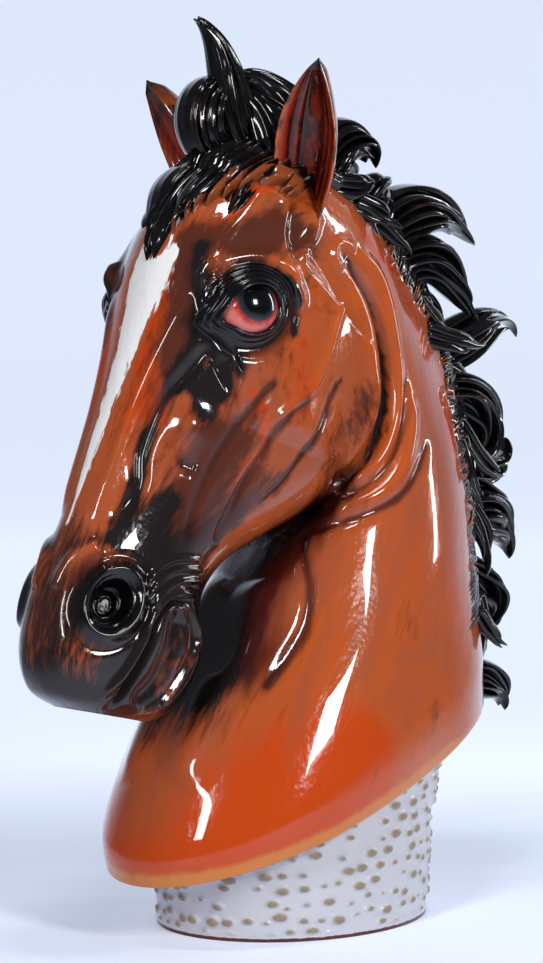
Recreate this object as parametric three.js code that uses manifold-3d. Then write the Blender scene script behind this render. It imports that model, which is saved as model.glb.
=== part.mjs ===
// Horse head sculpture: a glazed ceramic bust on its own pitted stand, cast in one piece.
// Millimetres, +Z up. The horse looks along -Y and its left side is +X.
// The origin is the middle of the flat underside.
import * as THREE from 'three';
import { mergeVertices } from 'three/addons/utils/BufferGeometryUtils.js';
import Module from 'manifold-3d';

// Driving sizes, millimetres
const FIGURE_HEIGHT = 780;      // the height all shares are taken of; the forelock ends just under it
const FOOT_WIDTH = 212;         // stand at the floor, across the horse
const FOOT_DEPTH = 258;         // stand at the floor, front to back
const FOOT_CHAMFER = 3;         // worn edge round the underside
const STAND_INSET = 17;         // the neck's rim hangs over the stand by this much
const STAND_SINK = 34;          // the stand's top runs this far up inside the neck
const STAND_WAIST_POWER = 2.4;  // how late the stand flares on its way up

// Resolution
const BODY_COLUMNS = 36;
const STAND_COLUMNS = 32;
const STAND_ROWS = 5;
const LOCK_SIDES = 8;
const LOCK_STEPS = 7;
const EAR_SIDES = 12;
const EAR_STEPS = 7;
const EYE_SIDES = 12;
const LID_SIDES = 5;

// The free form is a share of the figure's height: one unit is a thousandth of it.
const UNIT = FIGURE_HEIGHT / 1000;
const HALF_TURN = Math.PI;
const radians = THREE.MathUtils.degToRad;

// The body's sections, from inside the rim up the neck, over the poll and down to the mouth.
// outer is the crest and forehead line, inner the throat and jaw line, as (y, z).
// half is the half width, widest the share of the way from outer to inner where it lies,
// and the last two narrow the section towards its outer and its inner line.
const SECTIONS = [
  { outer: [149, 192], inner: [-106, 108], half: 60, widest: 0.60, narrow: [0, 0], rows: 1 },
  { outer: [262, 222], inner: [-218, 66], half: 131, widest: 0.62, narrow: [0, 0], rows: 1 },
  { outer: [282, 236], inner: [-239, 64], half: 151, widest: 0.62, narrow: [0, 0], rows: 1 },
  { outer: [276, 298], inner: [-240, 98], half: 157, widest: 0.62, narrow: [0, 0], rows: 1 },
  { outer: [274, 353], inner: [-226, 146], half: 154, widest: 0.60, narrow: [0.1, 0.05], rows: 1 },
  { outer: [266, 411], inner: [-197, 206], half: 146, widest: 0.58, narrow: [0.15, 0.1], rows: 2 },
  { outer: [265, 479], inner: [-138, 292], half: 133, widest: 0.56, narrow: [0.25, 0.1], rows: 2 },
  { outer: [252, 552], inner: [-108, 346], half: 119, widest: 0.54, narrow: [0.3, 0.1], rows: 2 },
  { outer: [228, 621], inner: [-75, 389], half: 107, widest: 0.55, narrow: [0.35, 0.1], rows: 3 },
  { outer: [196, 687], inner: [-38, 422], half: 98, widest: 0.55, narrow: [0.35, 0.05], rows: 3 },
  { outer: [154, 742], inner: [-12, 440], half: 94, widest: 0.52, narrow: [0.3, 0], rows: 3 },
  { outer: [103, 790], inner: [2, 449], half: 93, widest: 0.50, narrow: [0.1, -0.05], rows: 2 },
  { outer: [47, 826], inner: [9, 453], half: 93, widest: 0.48, narrow: [-0.1, -0.1], rows: 2 },
  { outer: [-14, 848], inner: [12, 455], half: 94, widest: 0.45, narrow: [-0.25, -0.12], rows: 2 },
  { outer: [-77, 848], inner: [13, 456], half: 97, widest: 0.42, narrow: [-0.35, -0.15], rows: 2 },
  { outer: [-135, 826], inner: [12, 456], half: 100, widest: 0.42, narrow: [-0.3, -0.2], rows: 2 },
  { outer: [-184, 788], inner: [6, 455], half: 103, widest: 0.44, narrow: [-0.2, -0.22], rows: 2 },
  { outer: [-214, 739], inner: [-6, 452], half: 106, widest: 0.45, narrow: [-0.1, -0.25], rows: 3 },
  { outer: [-233, 687], inner: [-26, 446], half: 105, widest: 0.48, narrow: [-0.05, -0.25], rows: 3 },
  { outer: [-252, 633], inner: [-61, 434], half: 98, widest: 0.54, narrow: [0.05, -0.2], rows: 3 },
  { outer: [-272, 580], inner: [-99, 418], half: 87, widest: 0.56, narrow: [0.1, -0.1], rows: 2 },
  { outer: [-294, 528], inner: [-133, 398], half: 74, widest: 0.54, narrow: [0.1, 0], rows: 3 },
  { outer: [-320, 466], inner: [-156, 367], half: 66, widest: 0.50, narrow: [0.05, 0.05], rows: 3 },
  { outer: [-346, 414], inner: [-158, 333], half: 65, widest: 0.45, narrow: [-0.05, 0.05], rows: 3 },
  { outer: [-364, 369], inner: [-154, 300], half: 67, widest: 0.42, narrow: [-0.1, 0.1], rows: 3 },
  { outer: [-374, 323], inner: [-172, 268], half: 63, widest: 0.40, narrow: [-0.15, 0.1], rows: 3 },
  { outer: [-366, 284], inner: [-199, 246], half: 53, widest: 0.42, narrow: [-0.1, 0.1], rows: 2 },
  { outer: [-339, 264], inner: [-224, 238], half: 34, widest: 0.45, narrow: [0, 0], rows: 1 },
];

// Carving: a ridge or a groove along a line over the body. A place on the body is a section's
// number, with the degrees round it from the outer line. A line of one place is a boss or a pit.
const CARVING = [
  { what: 'mane bed', width: 44, height: 26, along: [[4.5, 0], [7, 0], [10, 0], [13.6, 0]] },
  { what: 'forelock bed', width: 50, height: 18, along: [[13, 0], [14, 0], [15.2, 0]] },
  { what: 'cheek', width: 62, height: 12, along: [[13.9, 84], [15.4, 98], [18.3, 102]] },
  { what: 'jaw edge', width: 17, height: 7,
    along: [[13, 82], [12.2, 92], [11.9, 104], [12.2, 125], [14.2, 146]] },
  { what: 'jaw groove', width: 13, height: -16,
    along: [[13.1, 70], [12, 77], [11, 89], [10.1, 104], [10.3, 130]] },
  { what: 'first neck fold', width: 16, height: 10,
    along: [[12.2, 63], [10.8, 78], [9.7, 93], [9.1, 106], [9.9, 135]] },
  { what: 'second neck fold', width: 17, height: 7, along: [[9, 75], [8.2, 86], [8.1, 103], [8.8, 134]] },
  { what: 'throat cord', width: 28, height: 8, along: [[7.8, 165], [6.6, 154], [5.4, 158], [4.4, 166]] },
  { what: 'brow', width: 17, height: 10, along: [[17.4, 38], [16.5, 42], [15.8, 55], [15.4, 76]] },
  { what: 'temple', width: 22, height: -8, along: [[14.68, 62]] },
  { what: 'under eye', width: 20, height: -8, along: [[17.9, 66], [18.6, 56]] },
  { what: 'tear line', width: 15, height: -9, along: [[18.6, 46], [19.8, 39], [21.3, 48]] },
  { what: 'cheek bone end', width: 22, height: 11, along: [[19.69, 58]] },
  { what: 'nostril flare', width: 42, height: 14, along: [[23.6, 60]] },
  { what: 'nostril', width: 20, height: -32, along: [[23.54, 58]] },
  { what: 'mouth', width: 13, height: -16, along: [[26.2, 74], [25.2, 93], [24, 100], [22.8, 118]] },
  { what: 'chin', width: 24, height: 8, along: [[24.2, 160], [25.2, 160]] },
];
const CARVING_REACH = 3;        // widths beyond which a carving line does nothing
const CARVING_FADE = 0.2;       // share of a line over which it dies away at either end

// The eyes, and the lid that rings each of them
const EYE = {
  place: [83, -162, 681], radius: 36, lidRadius: 32, lidThick: 7, lidForward: 13, lookOut: 72, lookUp: 0,
};

// The ears: a leaf bent into a cup, carried along a curved line
const EAR = {
  line: [[65, -63, 759], [85, -71, 813], [113, -87, 884], [137, -97, 939]],
  halfWidth: 35, thick: 7, cup: 0.9, fullestAt: 0.5, stem: 0.5, turnOut: 24, point: 0.8, tipHalf: 2,
};

// Locks of hair. Columns: the root's x, y and z; the heading in degrees from straight back towards
// up; how far the heading turns, and how late; how far it turns once more near the tip; the length;
// the half width, in the lock's own bend, and the half thickness across it; the drift along X.
const MANE_LOCKS = [
  [16, 20, 812, 86, -165, 1.4, 0, 134, 32, 30, 14],
  [-20, 44, 798, 70, -110, 1.2, 0, 118, 30, 30, -18],
  [8, 86, 773, 66, -50, 1, 0, 92, 30, 34, 0],
  [10, 108, 752, 58, -105, 0.9, 0, 202, 32, 30, 8],
  [-22, 124, 728, 40, -80, 0.9, 0, 168, 30, 28, -22],
  [22, 136, 726, 50, -140, 0.8, 40, 170, 28, 26, 14],
  [-4, 156, 690, 20, -104, 0.6, 0, 132, 32, 34, -4],
  [4, 192, 626, 8, 42, 1, -130, 200, 30, 26, 4],
  [-20, 190, 640, -10, -60, 1, 0, 126, 26, 28, -30],
  [12, 208, 584, 14, -160, 1.4, -70, 176, 26, 30, 10],
  [-18, 218, 552, -8, -80, 1, 0, 126, 27, 28, -24],
  [4, 241, 505, -12, 42, 2, 100, 142, 24, 28, 4],
  [4, 244, 480, -8, -18, 1, 0, 128, 22, 28, -6],
  [6, 249, 438, 10, -80, 1.6, -40, 142, 34, 32, 0],
  [-14, 256, 400, -20, -60, 1.6, -60, 106, 26, 28, -24],
  [4, 265, 376, -24, -40, 1.6, -60, 109, 27, 28, 4],
  [-4, 271, 304, -24, -50, 1.5, 0, 74, 22, 28, -8],
  [4, 278, 250, -12, -40, 1.8, -50, 98, 22, 24, 0],
];
const FORELOCKS = [
  [8, -36, 836, 128, -10, 1, 0, 106, 42, 44, -4],
  [12, -62, 840, 136, -50, 0.7, 84, 178, 22, 20, -12],
  [34, -14, 844, 108, 66, 1.5, 0, 130, 32, 20, -18],
  [-2, -105, 846, 176, -210, 0.9, 0, 146, 22, 28, -6],
  [20, -85, 836, 190, 34, 1, 0, 130, 15, 26, 8],
  [42, -85, 824, 194, 52, 1, 0, 112, 14, 22, 14],
  [-6, -97, 836, 188, 50, 1, 0, 140, 15, 26, -4],
  [-34, -85, 828, 190, 52, 1, 0, 122, 14, 24, -12],
];

// A smooth curve through the rows of a table, read at any place between them
function along(rows, place) {
  const last = rows.length - 1;
  const start = Math.min(Math.floor(place), last - 1);
  const t = place - start;
  const row = (index) => rows[Math.min(Math.max(index, 0), last)];
  const [a, b, c, d] = [row(start - 1), row(start), row(start + 1), row(start + 2)];
  return b.map((value, i) => 0.5 * (2 * value + (c[i] - a[i]) * t
    + (2 * a[i] - 5 * value + 4 * c[i] - d[i]) * t * t
    + (3 * value - a[i] - 3 * c[i] + d[i]) * t * t * t));
}

const SECTION_ROWS = SECTIONS.map((s) => [...s.outer, ...s.inner, s.half, s.widest, ...s.narrow]);
const NARROWING_POWER = 1.5;

// A point of the plain body, in units: place counts sections, angle runs round from the outer line
function bodyPoint(place, angle) {
  const [oy, oz, iy, iz, half, widest, outerNarrow, innerNarrow] = along(SECTION_ROWS, place);
  const toOuter = Math.max(Math.cos(angle), 0);
  const toInner = Math.max(-Math.cos(angle), 0);
  const share = widest * (1 - toOuter) + (1 - widest) * toInner;
  const width = half * Math.sin(angle)
    * (1 - outerNarrow * toOuter ** NARROWING_POWER - innerNarrow * toInner ** NARROWING_POWER);
  return new THREE.Vector3(width, oy + (iy - oy) * share, oz + (iz - oz) * share);
}

// The way out of the plain body there, from the slopes of the surface
const SLOPE_STEP = 0.02;
function bodyNormal(place, angle) {
  const lastPlace = SECTIONS.length - 1;
  const before = Math.max(place - SLOPE_STEP, 0);
  const after = Math.min(place + SLOPE_STEP, lastPlace);
  const length = bodyPoint(after, angle).sub(bodyPoint(before, angle));
  const round = bodyPoint(place, angle + SLOPE_STEP).sub(bodyPoint(place, angle - SLOPE_STEP));
  return length.cross(round).normalize();
}

// Each carving line as a chain of points on the plain body
const LINE_STEPS = 10;
const carvingLines = CARVING.map(({ along: places, width, height }) => {
  const count = (places.length - 1) * LINE_STEPS;
  const points = Array.from({ length: count + 1 }, (_, i) => {
    const [place, degrees] = count ? along(places, i / LINE_STEPS) : places[0];
    return bodyPoint(place, radians(degrees));
  });
  return { points, width, height };
});

// How far the carving moves a point of the body outwards, the same on both sides of the head
function carved(point) {
  const p = new THREE.Vector3(Math.abs(point.x), point.y, point.z);
  let out = 0;
  for (const { points, width, height } of carvingLines) {
    let nearest = 0;
    let distance = Infinity;
    points.forEach((q, i) => {
      const d = q.distanceTo(p);
      if (d < distance) [distance, nearest] = [d, i];
    });
    if (distance > CARVING_REACH * width) continue;
    const t = points.length > 1 ? nearest / (points.length - 1) : 0.5;
    const toEnd = Math.min(t, 1 - t) + CARVING_FADE / LINE_STEPS;
    const fade = THREE.MathUtils.smoothstep(toEnd, 0, CARVING_FADE);
    out += height * fade * Math.exp(-((distance / width) ** 2));
  }
  return out;
}

// A closed skin over rings of points, with a flat cap on the first and the last ring
function skin(rings) {
  const around = rings[0].length;
  const positions = rings.flat().flatMap((p) => [p.x * UNIT, p.y * UNIT, p.z * UNIT]);
  const index = [];
  for (let row = 0; row < rings.length - 1; row += 1) {
    for (let column = 0; column < around; column += 1) {
      const next = (column + 1) % around;
      const [a, b] = [row * around + column, row * around + next];
      const [c, d] = [a + around, b + around];
      const flat = rings[row][column].distanceTo(rings[row + 1][next])
        < rings[row][next].distanceTo(rings[row + 1][column]);
      index.push(...(flat ? [a, b, d, a, d, c] : [a, b, c, b, d, c]));
    }
  }
  [0, rings.length - 1].forEach((row, end) => {
    const middle = rings[row].reduce((sum, p) => sum.add(p), new THREE.Vector3())
      .multiplyScalar(UNIT / around);
    const centre = positions.length / 3;
    positions.push(middle.x, middle.y, middle.z);
    for (let column = 0; column < around; column += 1) {
      const [a, b] = [row * around + column, row * around + ((column + 1) % around)];
      index.push(...(end ? [a, b, centre] : [b, a, centre]));
    }
  });
  const geometry = new THREE.BufferGeometry();
  geometry.setAttribute('position', new THREE.Float32BufferAttribute(positions, 3));
  geometry.setIndex(index);
  return geometry;
}

// The columns crowd together on the side of the head, where the carving is
const SIDE_CROWDING = 0.32;
function bodyGeometry() {
  const rings = [];
  SECTIONS.forEach(({ rows }, section) => {
    const count = section < SECTIONS.length - 1 ? rows : 1;
    for (let row = 0; row < count; row += 1) {
      const place = section + row / count;
      rings.push(Array.from({ length: BODY_COLUMNS }, (_, column) => {
        const even = (-2 * HALF_TURN * column) / BODY_COLUMNS;
        const angle = even + (SIDE_CROWDING * Math.sin(2 * even)) / 2;
        const point = bodyPoint(place, angle);
        return point.addScaledVector(bodyNormal(place, angle), carved(point));
      }));
    }
  });
  return skin(rings);
}

// The stand: rings that start as the flat foot and lean and widen until they fill the rim
function standGeometry() {
  const foot = { back: [FOOT_DEPTH / 2, 0], front: [-FOOT_DEPTH / 2, 0], half: FOOT_WIDTH / 2 };
  const [rimBack, rimFront, rimHalf] = [SECTIONS[2].outer, SECTIONS[2].inner, SECTIONS[2].half];
  const tilt = Math.atan2(rimBack[1] - rimFront[1], rimBack[0] - rimFront[0]);
  const top = {
    back: [rimBack[0] * UNIT - STAND_INSET * Math.cos(tilt) - STAND_SINK * Math.sin(tilt),
      rimBack[1] * UNIT - STAND_INSET * Math.sin(tilt) + STAND_SINK * Math.cos(tilt)],
    front: [rimFront[0] * UNIT + STAND_INSET * Math.cos(tilt) - STAND_SINK * Math.sin(tilt),
      rimFront[1] * UNIT + STAND_INSET * Math.sin(tilt) + STAND_SINK * Math.cos(tilt)],
    half: rimHalf * UNIT - STAND_INSET,
  };
  const mix = (a, b, t) => a + (b - a) * t;
  const ring = (rise, inset) => {
    const flare = rise ** STAND_WAIST_POWER;
    const back = [mix(foot.back[0], top.back[0], flare) - inset, mix(foot.back[1], top.back[1], rise)];
    const frontY = mix(foot.front[0], top.front[0], flare) + inset;
    const front = [frontY, mix(foot.front[1], top.front[1], rise)];
    const half = mix(foot.half, top.half, flare) - inset;
    return Array.from({ length: STAND_COLUMNS }, (_, column) => {
      const angle = (-2 * HALF_TURN * column) / STAND_COLUMNS;
      const share = (1 - Math.cos(angle)) / 2;
      return new THREE.Vector3(half * Math.sin(angle), mix(back[0], front[0], share),
        mix(back[1], front[1], share)).divideScalar(UNIT);
    });
  };
  const chamferRise = FOOT_CHAMFER / mix(foot.back[1], top.back[1], 1);
  const lowRing = ring(0, FOOT_CHAMFER);
  const rises = Array.from({ length: STAND_ROWS }, (_, i) => (
    mix(chamferRise, 1, i / (STAND_ROWS - 1))));
  return skin([lowRing, ...rises.map((rise) => ring(rise, 0))]);
}

// A lock: a flattened, ribbed rope whose heading turns along its length, thin at its tip
const LOCK_RIB = 0.12;
const LOCK_ROOT_SHARE = 0.75;
const LOCK_SWELL_RATE = 1.6;
const LOCK_TIP_SHARE = 0.16;
const LOCK_TIP_POWER = 3;
const TIP_LATE = 5;
const MOVES_PER_STEP = 8;
function lockGeometry([x, y, z, heading, turn, late, tip, length, width, thick, lean]) {
  const path = [new THREE.Vector3(x, y, z)];
  const headings = [radians(heading)];
  const moves = LOCK_STEPS * MOVES_PER_STEP;
  for (let i = 1; i <= moves; i += 1) {
    const t = i / moves;
    const angle = radians(heading + turn * t ** late + tip * t ** TIP_LATE);
    const move = new THREE.Vector3(lean, length * Math.cos(angle), length * Math.sin(angle));
    path.push(path[i - 1].clone().addScaledVector(move, 1 / moves));
    headings.push(angle);
  }
  const rings = Array.from({ length: LOCK_STEPS + 1 }, (_, row) => {
    const t = row / LOCK_STEPS;
    const angle = headings[row * MOVES_PER_STEP];
    const across = new THREE.Vector3(0, -Math.sin(angle), Math.cos(angle));
    const swollen = Math.sin((HALF_TURN / 2) * Math.min(t * LOCK_SWELL_RATE, 1));
    const swell = THREE.MathUtils.lerp(LOCK_ROOT_SHARE, 1, swollen);
    const size = swell * Math.max(Math.sqrt(1 - t ** LOCK_TIP_POWER), LOCK_TIP_SHARE);
    return Array.from({ length: LOCK_SIDES }, (_, side) => {
      const round = (2 * HALF_TURN * (side + 0.5)) / LOCK_SIDES;
      const rib = side % 2 ? 1 + LOCK_RIB : 1 - LOCK_RIB;
      return path[row * MOVES_PER_STEP].clone()
        .addScaledVector(across, size * rib * width * Math.cos(round))
        .add(new THREE.Vector3(size * rib * thick * Math.sin(round), 0, 0));
    });
  });
  return skin(rings);
}

// An ear: rings are leaf-wide crescents, hollow towards the front
function earGeometry(side) {
  const { line, halfWidth, thick, cup, fullestAt, stem, turnOut, point, tipHalf } = EAR;
  const facing = new THREE.Vector3(Math.sin(radians(turnOut)), -Math.cos(radians(turnOut)), 0);
  const rings = Array.from({ length: EAR_STEPS + 1 }, (_, row) => {
    const t = row / EAR_STEPS;
    const place = t * (line.length - 1);
    const centre = new THREE.Vector3(...along(line, place));
    const ahead = new THREE.Vector3(...along(line, Math.min(place + SLOPE_STEP, line.length - 1)));
    const behind = new THREE.Vector3(...along(line, Math.max(place - SLOPE_STEP, 0)));
    const up = ahead.sub(behind).normalize();
    const across = new THREE.Vector3().crossVectors(facing, up).normalize();
    const front = new THREE.Vector3().crossVectors(up, across).normalize();
    const leaf = t < fullestAt
      ? THREE.MathUtils.lerp(stem, 1, Math.sin((HALF_TURN / 2) * (t / fullestAt)))
      : Math.cos((HALF_TURN / 2) * ((t - fullestAt) / (1 - fullestAt))) ** point;
    const wide = Math.max(halfWidth * leaf, tipHalf);
    return Array.from({ length: EAR_SIDES }, (_, i) => {
      const round = (2 * HALF_TURN * i) / EAR_SIDES;
      const off = wide * Math.cos(round);
      const depth = -cup * wide * (1 - (off / wide) ** 2) + Math.min(thick, wide) * Math.sin(round);
      const spot = centre.clone().addScaledVector(across, off).addScaledVector(front, depth);
      return new THREE.Vector3(side * spot.x, spot.y, spot.z);
    });
  });
  return skin(side > 0 ? rings : rings.map((ring) => ring.reverse()));
}

// An eyeball, and the ring of its lids
function eyeGeometries(side) {
  const centre = new THREE.Vector3(side * EYE.place[0], EYE.place[1], EYE.place[2]).multiplyScalar(UNIT);
  const ball = new THREE.SphereGeometry(EYE.radius * UNIT, EYE_SIDES, EYE_SIDES / 2);
  ball.translate(centre.x, centre.y, centre.z);
  const look = new THREE.Vector3(side * Math.sin(radians(EYE.lookOut)), -Math.cos(radians(EYE.lookOut)),
    Math.sin(radians(EYE.lookUp))).normalize();
  const lid = new THREE.TorusGeometry(EYE.lidRadius * UNIT, EYE.lidThick * UNIT, LID_SIDES, EYE_SIDES);
  lid.applyQuaternion(new THREE.Quaternion().setFromUnitVectors(new THREE.Vector3(0, 0, 1), look));
  const lidCentre = centre.addScaledVector(look, EYE.lidForward * UNIT);
  lid.translate(lidCentre.x, lidCentre.y, lidCentre.z);
  return [ball, lid];
}

const wasm = await Module();
wasm.setup();

// A closed geometry as a solid that can be joined
const WELD_DISTANCE = 1e-4;
function solidOf(geometry) {
  const bare = geometry.clone();
  bare.deleteAttribute('normal');
  bare.deleteAttribute('uv');
  const merged = mergeVertices(bare, WELD_DISTANCE);
  return new wasm.Manifold(new wasm.Mesh({
    numProp: 3,
    vertProperties: new Float32Array(merged.attributes.position.array),
    triVerts: new Uint32Array(merged.index.array),
  }));
}

function joined(geometries) {
  const solids = geometries.map(solidOf);
  const mesh = solids.reduce((whole, piece) => whole.add(piece)).getMesh();
  const geometry = new THREE.BufferGeometry();
  geometry.setAttribute('position', new THREE.BufferAttribute(mesh.vertProperties, 3));
  geometry.setIndex(new THREE.BufferAttribute(mesh.triVerts, 1));
  geometry.computeVertexNormals();
  return geometry;
}

const brownGlaze = new THREE.MeshStandardMaterial({ color: 0x9c4a1c, roughness: 0.15, metalness: 0 });
const horseHead = new THREE.Mesh(joined([
  bodyGeometry(),
  standGeometry(),
  ...[1, -1].flatMap((side) => [earGeometry(side), ...eyeGeometries(side)]),
  ...[...MANE_LOCKS, ...FORELOCKS].map(lockGeometry),
]), brownGlaze);
horseHead.name = 'horse_head';

const sculpture = new THREE.Group();
sculpture.add(horseHead);
export default sculpture;
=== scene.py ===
import math

import bpy
import numpy as np
from bpy.props import FloatProperty, FloatVectorProperty, PointerProperty
from mathutils import Matrix, Vector


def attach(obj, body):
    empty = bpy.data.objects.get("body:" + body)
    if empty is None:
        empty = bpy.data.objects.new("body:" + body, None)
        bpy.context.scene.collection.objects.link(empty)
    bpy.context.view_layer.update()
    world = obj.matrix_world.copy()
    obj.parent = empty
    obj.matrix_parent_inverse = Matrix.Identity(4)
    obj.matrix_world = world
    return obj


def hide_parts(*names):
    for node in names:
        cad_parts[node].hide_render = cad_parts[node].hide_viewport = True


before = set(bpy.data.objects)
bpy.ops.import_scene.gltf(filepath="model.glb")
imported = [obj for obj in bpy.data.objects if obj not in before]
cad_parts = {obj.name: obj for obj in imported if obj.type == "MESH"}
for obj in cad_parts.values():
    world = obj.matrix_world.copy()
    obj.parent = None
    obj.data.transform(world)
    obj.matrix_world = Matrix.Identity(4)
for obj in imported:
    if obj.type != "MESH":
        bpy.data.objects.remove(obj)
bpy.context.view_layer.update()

bl_info = {
    "name": "Horse head sculpture",
    "version": (1, 0, 0),
    "blender": (4, 5, 0),
    "location": "View3D > Sidebar > Horse head",
    "description": "Glazed ceramic horse head on a pitted stand, built around its packed model",
    "category": "Object",
}

NODE = "horse_head"
BODY = "root"

# The figure's height sets its free form: one unit is a thousandth of it, in metres.
FIGURE_HEIGHT = 0.78
UNIT = FIGURE_HEIGHT / 1000
FULL_TURN = 2 * math.pi
SIDES = (("left", 1), ("right", -1))
CLOSED = (True, True)

# The body's sections, from inside the rim up the neck, over the poll and down to the mouth:
# outer line (y, z), inner line (y, z), half width, the share from outer to inner where it is
# widest, and how much it narrows towards its outer and its inner line.
SECTIONS = np.array([
    (149, 192, -106, 108, 60, 0.60, 0, 0),
    (262, 222, -218, 66, 131, 0.62, 0, 0),
    (282, 236, -239, 64, 151, 0.62, 0, 0),
    (276, 298, -240, 98, 157, 0.62, 0, 0),
    (274, 353, -226, 146, 154, 0.60, 0.1, 0.05),
    (266, 411, -197, 206, 146, 0.58, 0.15, 0.1),
    (265, 479, -138, 292, 133, 0.56, 0.25, 0.1),
    (252, 552, -108, 346, 119, 0.54, 0.3, 0.1),
    (228, 621, -75, 389, 107, 0.55, 0.35, 0.1),
    (196, 687, -38, 422, 98, 0.55, 0.35, 0.05),
    (154, 742, -12, 440, 94, 0.52, 0.3, 0),
    (103, 790, 2, 449, 93, 0.50, 0.1, -0.05),
    (47, 826, 9, 453, 93, 0.48, -0.1, -0.1),
    (-14, 848, 12, 455, 94, 0.45, -0.25, -0.12),
    (-77, 848, 13, 456, 97, 0.42, -0.35, -0.15),
    (-135, 826, 12, 456, 100, 0.42, -0.3, -0.2),
    (-184, 788, 6, 455, 103, 0.44, -0.2, -0.22),
    (-214, 739, -6, 452, 106, 0.45, -0.1, -0.25),
    (-233, 687, -26, 446, 105, 0.48, -0.05, -0.25),
    (-252, 633, -61, 434, 98, 0.54, 0.05, -0.2),
    (-272, 580, -99, 418, 87, 0.56, 0.1, -0.1),
    (-294, 528, -133, 398, 74, 0.54, 0.1, 0),
    (-320, 466, -156, 367, 66, 0.50, 0.05, 0.05),
    (-346, 414, -158, 333, 65, 0.45, -0.05, 0.05),
    (-364, 369, -154, 300, 67, 0.42, -0.1, 0.1),
    (-374, 323, -172, 268, 63, 0.40, -0.15, 0.1),
    (-366, 284, -199, 246, 53, 0.42, -0.1, 0.1),
    (-339, 264, -224, 238, 34, 0.45, 0, 0),
], float)
LAST_SECTION = len(SECTIONS) - 1
RIM_SECTION = 2
NARROWING_POWER = 1.5

# Carving: a ridge or a groove along a line over the body, as (name, half width, height, line).
# A place on the line is (section number, degrees round from the outer line).
CARVING = [
    ("mane bed", 40, 18, [(4.5, 0), (7, 0), (10, 0), (13.6, 0)]),
    ("forelock bed", 50, 12, [(13, 0), (14, 0), (15.2, 0)]),
    ("cheek", 62, 11, [(13.9, 84), (15.4, 98), (18.3, 102)]),
    ("jaw edge", 14, 6, [(13.2, 80), (12.5, 86), (11.9, 98), (11.3, 110), (12.5, 135), (17.8, 128)]),
    ("jaw groove", 7.5, -13,
     [(13.12, 70), (12.12, 76), (11.12, 88), (10.1, 102), (9.9, 118), (10.8, 138), (12.2, 150)]),
    ("jaw hook", 6, 5, [(12.62, 63), (13.32, 65), (13.6, 71), (13.4, 77)]),
    ("first fold", 11, 8, [(12.62, 63), (11.67, 66), (10.77, 80), (9.77, 93), (9.1, 106), (9.9, 135)]),
    ("fold hollow", 7, -6, [(9.77, 80), (8.87, 86), (8.62, 106), (9.4, 135)]),
    ("second fold", 11, 6, [(9.12, 75), (8.27, 85), (8.17, 103), (8.87, 134)]),
    ("second hollow", 7, -5, [(7.91, 69), (7.61, 86), (7.86, 106), (8.52, 134), (9.07, 156)]),
    ("throat crease", 8, -6, [(9.07, 156), (7.41, 136), (6.36, 132), (5.56, 140)]),
    ("throat cord", 26, 8, [(7.8, 165), (6.6, 154), (5.4, 158), (4.4, 166)]),
    ("cheek vein", 5, 4, [(13.32, 86), (14.88, 101), (16.78, 101), (18.58, 88)]),
    ("cheek line 1", 5, -3, [(14.18, 111), (16.43, 115), (18.43, 114), (19.59, 112)]),
    ("cheek line 2", 6, -4, [(16.88, 102), (18.53, 94), (19.89, 95), (21.14, 115)]),
    ("cheek line 3", 7, -4, [(17.68, 84), (19.09, 75), (20.34, 77), (21.54, 91)]),
    ("tear line", 9, -9, [(18.03, 51), (18.78, 45), (19.69, 38), (20.64, 40), (21.29, 48), (21.99, 40)]),
    ("nasal bone", 10, 5, [(17.33, 34), (18.68, 27), (19.94, 24), (21.04, 26), (22.04, 24)]),
    ("brow", 11, 8, [(17.53, 38), (16.93, 39), (16.18, 50), (15.58, 62), (15.38, 76), (15.58, 84)]),
    ("forehead ridge", 11, 6, [(14.58, 34), (15.58, 40), (16.68, 37), (17.38, 32)]),
    ("temple ridge", 8, 6, [(14.38, 42), (14.98, 55), (15.28, 66), (15.28, 75)]),
    ("temple hollow", 20, -6, [(14.68, 62)]),
    ("second temple ridge", 7, 5, [(13.78, 53), (14.23, 64), (14.88, 70)]),
    ("under eye", 16, -7, [(17.9, 66), (18.5, 56)]),
    ("crest end", 20, 10, [(19.69, 56)]),
    ("crest knot", 8, -5, [(20.4, 62), (20.3, 70)]),
    ("nostril flare", 40, 10, [(23.6, 60)]),
    ("nostril wing", 9, 6, [(23.59, 12), (22.89, 19), (22.44, 38)]),
    ("mouth", 4, -12,
     [(26.4, 74), (25.3, 90), (24.4, 93), (23.8, 93), (23.2, 97), (22.85, 106), (22.6, 122)]),
    ("upper lip", 5, 6,
     [(26.0, 64), (25.1, 82), (24.3, 87), (23.7, 87), (23.1, 92), (22.6, 104), (22.4, 120)]),
    ("lip panel", 13, -8, [(26.0, 96), (25.2, 108), (24.4, 110), (23.6, 110), (23.1, 116)]),
    ("wrinkle 1", 3, 4.5, [(23.7, 90), (23.1, 95), (22.6, 108), (22.3, 128)]),
    ("wrinkle 2", 3, 4.5, [(23.45, 85), (22.9, 91), (22.4, 102), (21.85, 130)]),
    ("wrinkle 3", 3, 4.5, [(23.2, 81), (22.7, 86), (22.15, 97), (21.7, 122)]),
    ("wrinkle 4", 3, 4, [(22.95, 78), (22.45, 82), (22.0, 92), (21.6, 113)]),
    ("lip rim", 4, 8,
     [(22.6, 124), (23.4, 133), (24.0, 131), (24.5, 127), (25.1, 124), (25.7, 120), (26.5, 105)]),
    ("chin groove", 6, -6, [(23.0, 140), (24.0, 142), (25.0, 138), (26.0, 132)]),
    ("inner fold", 5, 6, [(16.7, 37), (17.1, 36), (17.6, 41), (17.9, 49)]),
    ("inner groove", 4, -7, [(16.6, 42), (17.1, 42), (17.6, 47)]),
]
CARVING_FADE = 0.18
CARVING_END = 0.02
LINE_REACH = 3
LINE_STEPS = 14
FINE_CARVING = 12
FINE_SHARPNESS = 0.8

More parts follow.
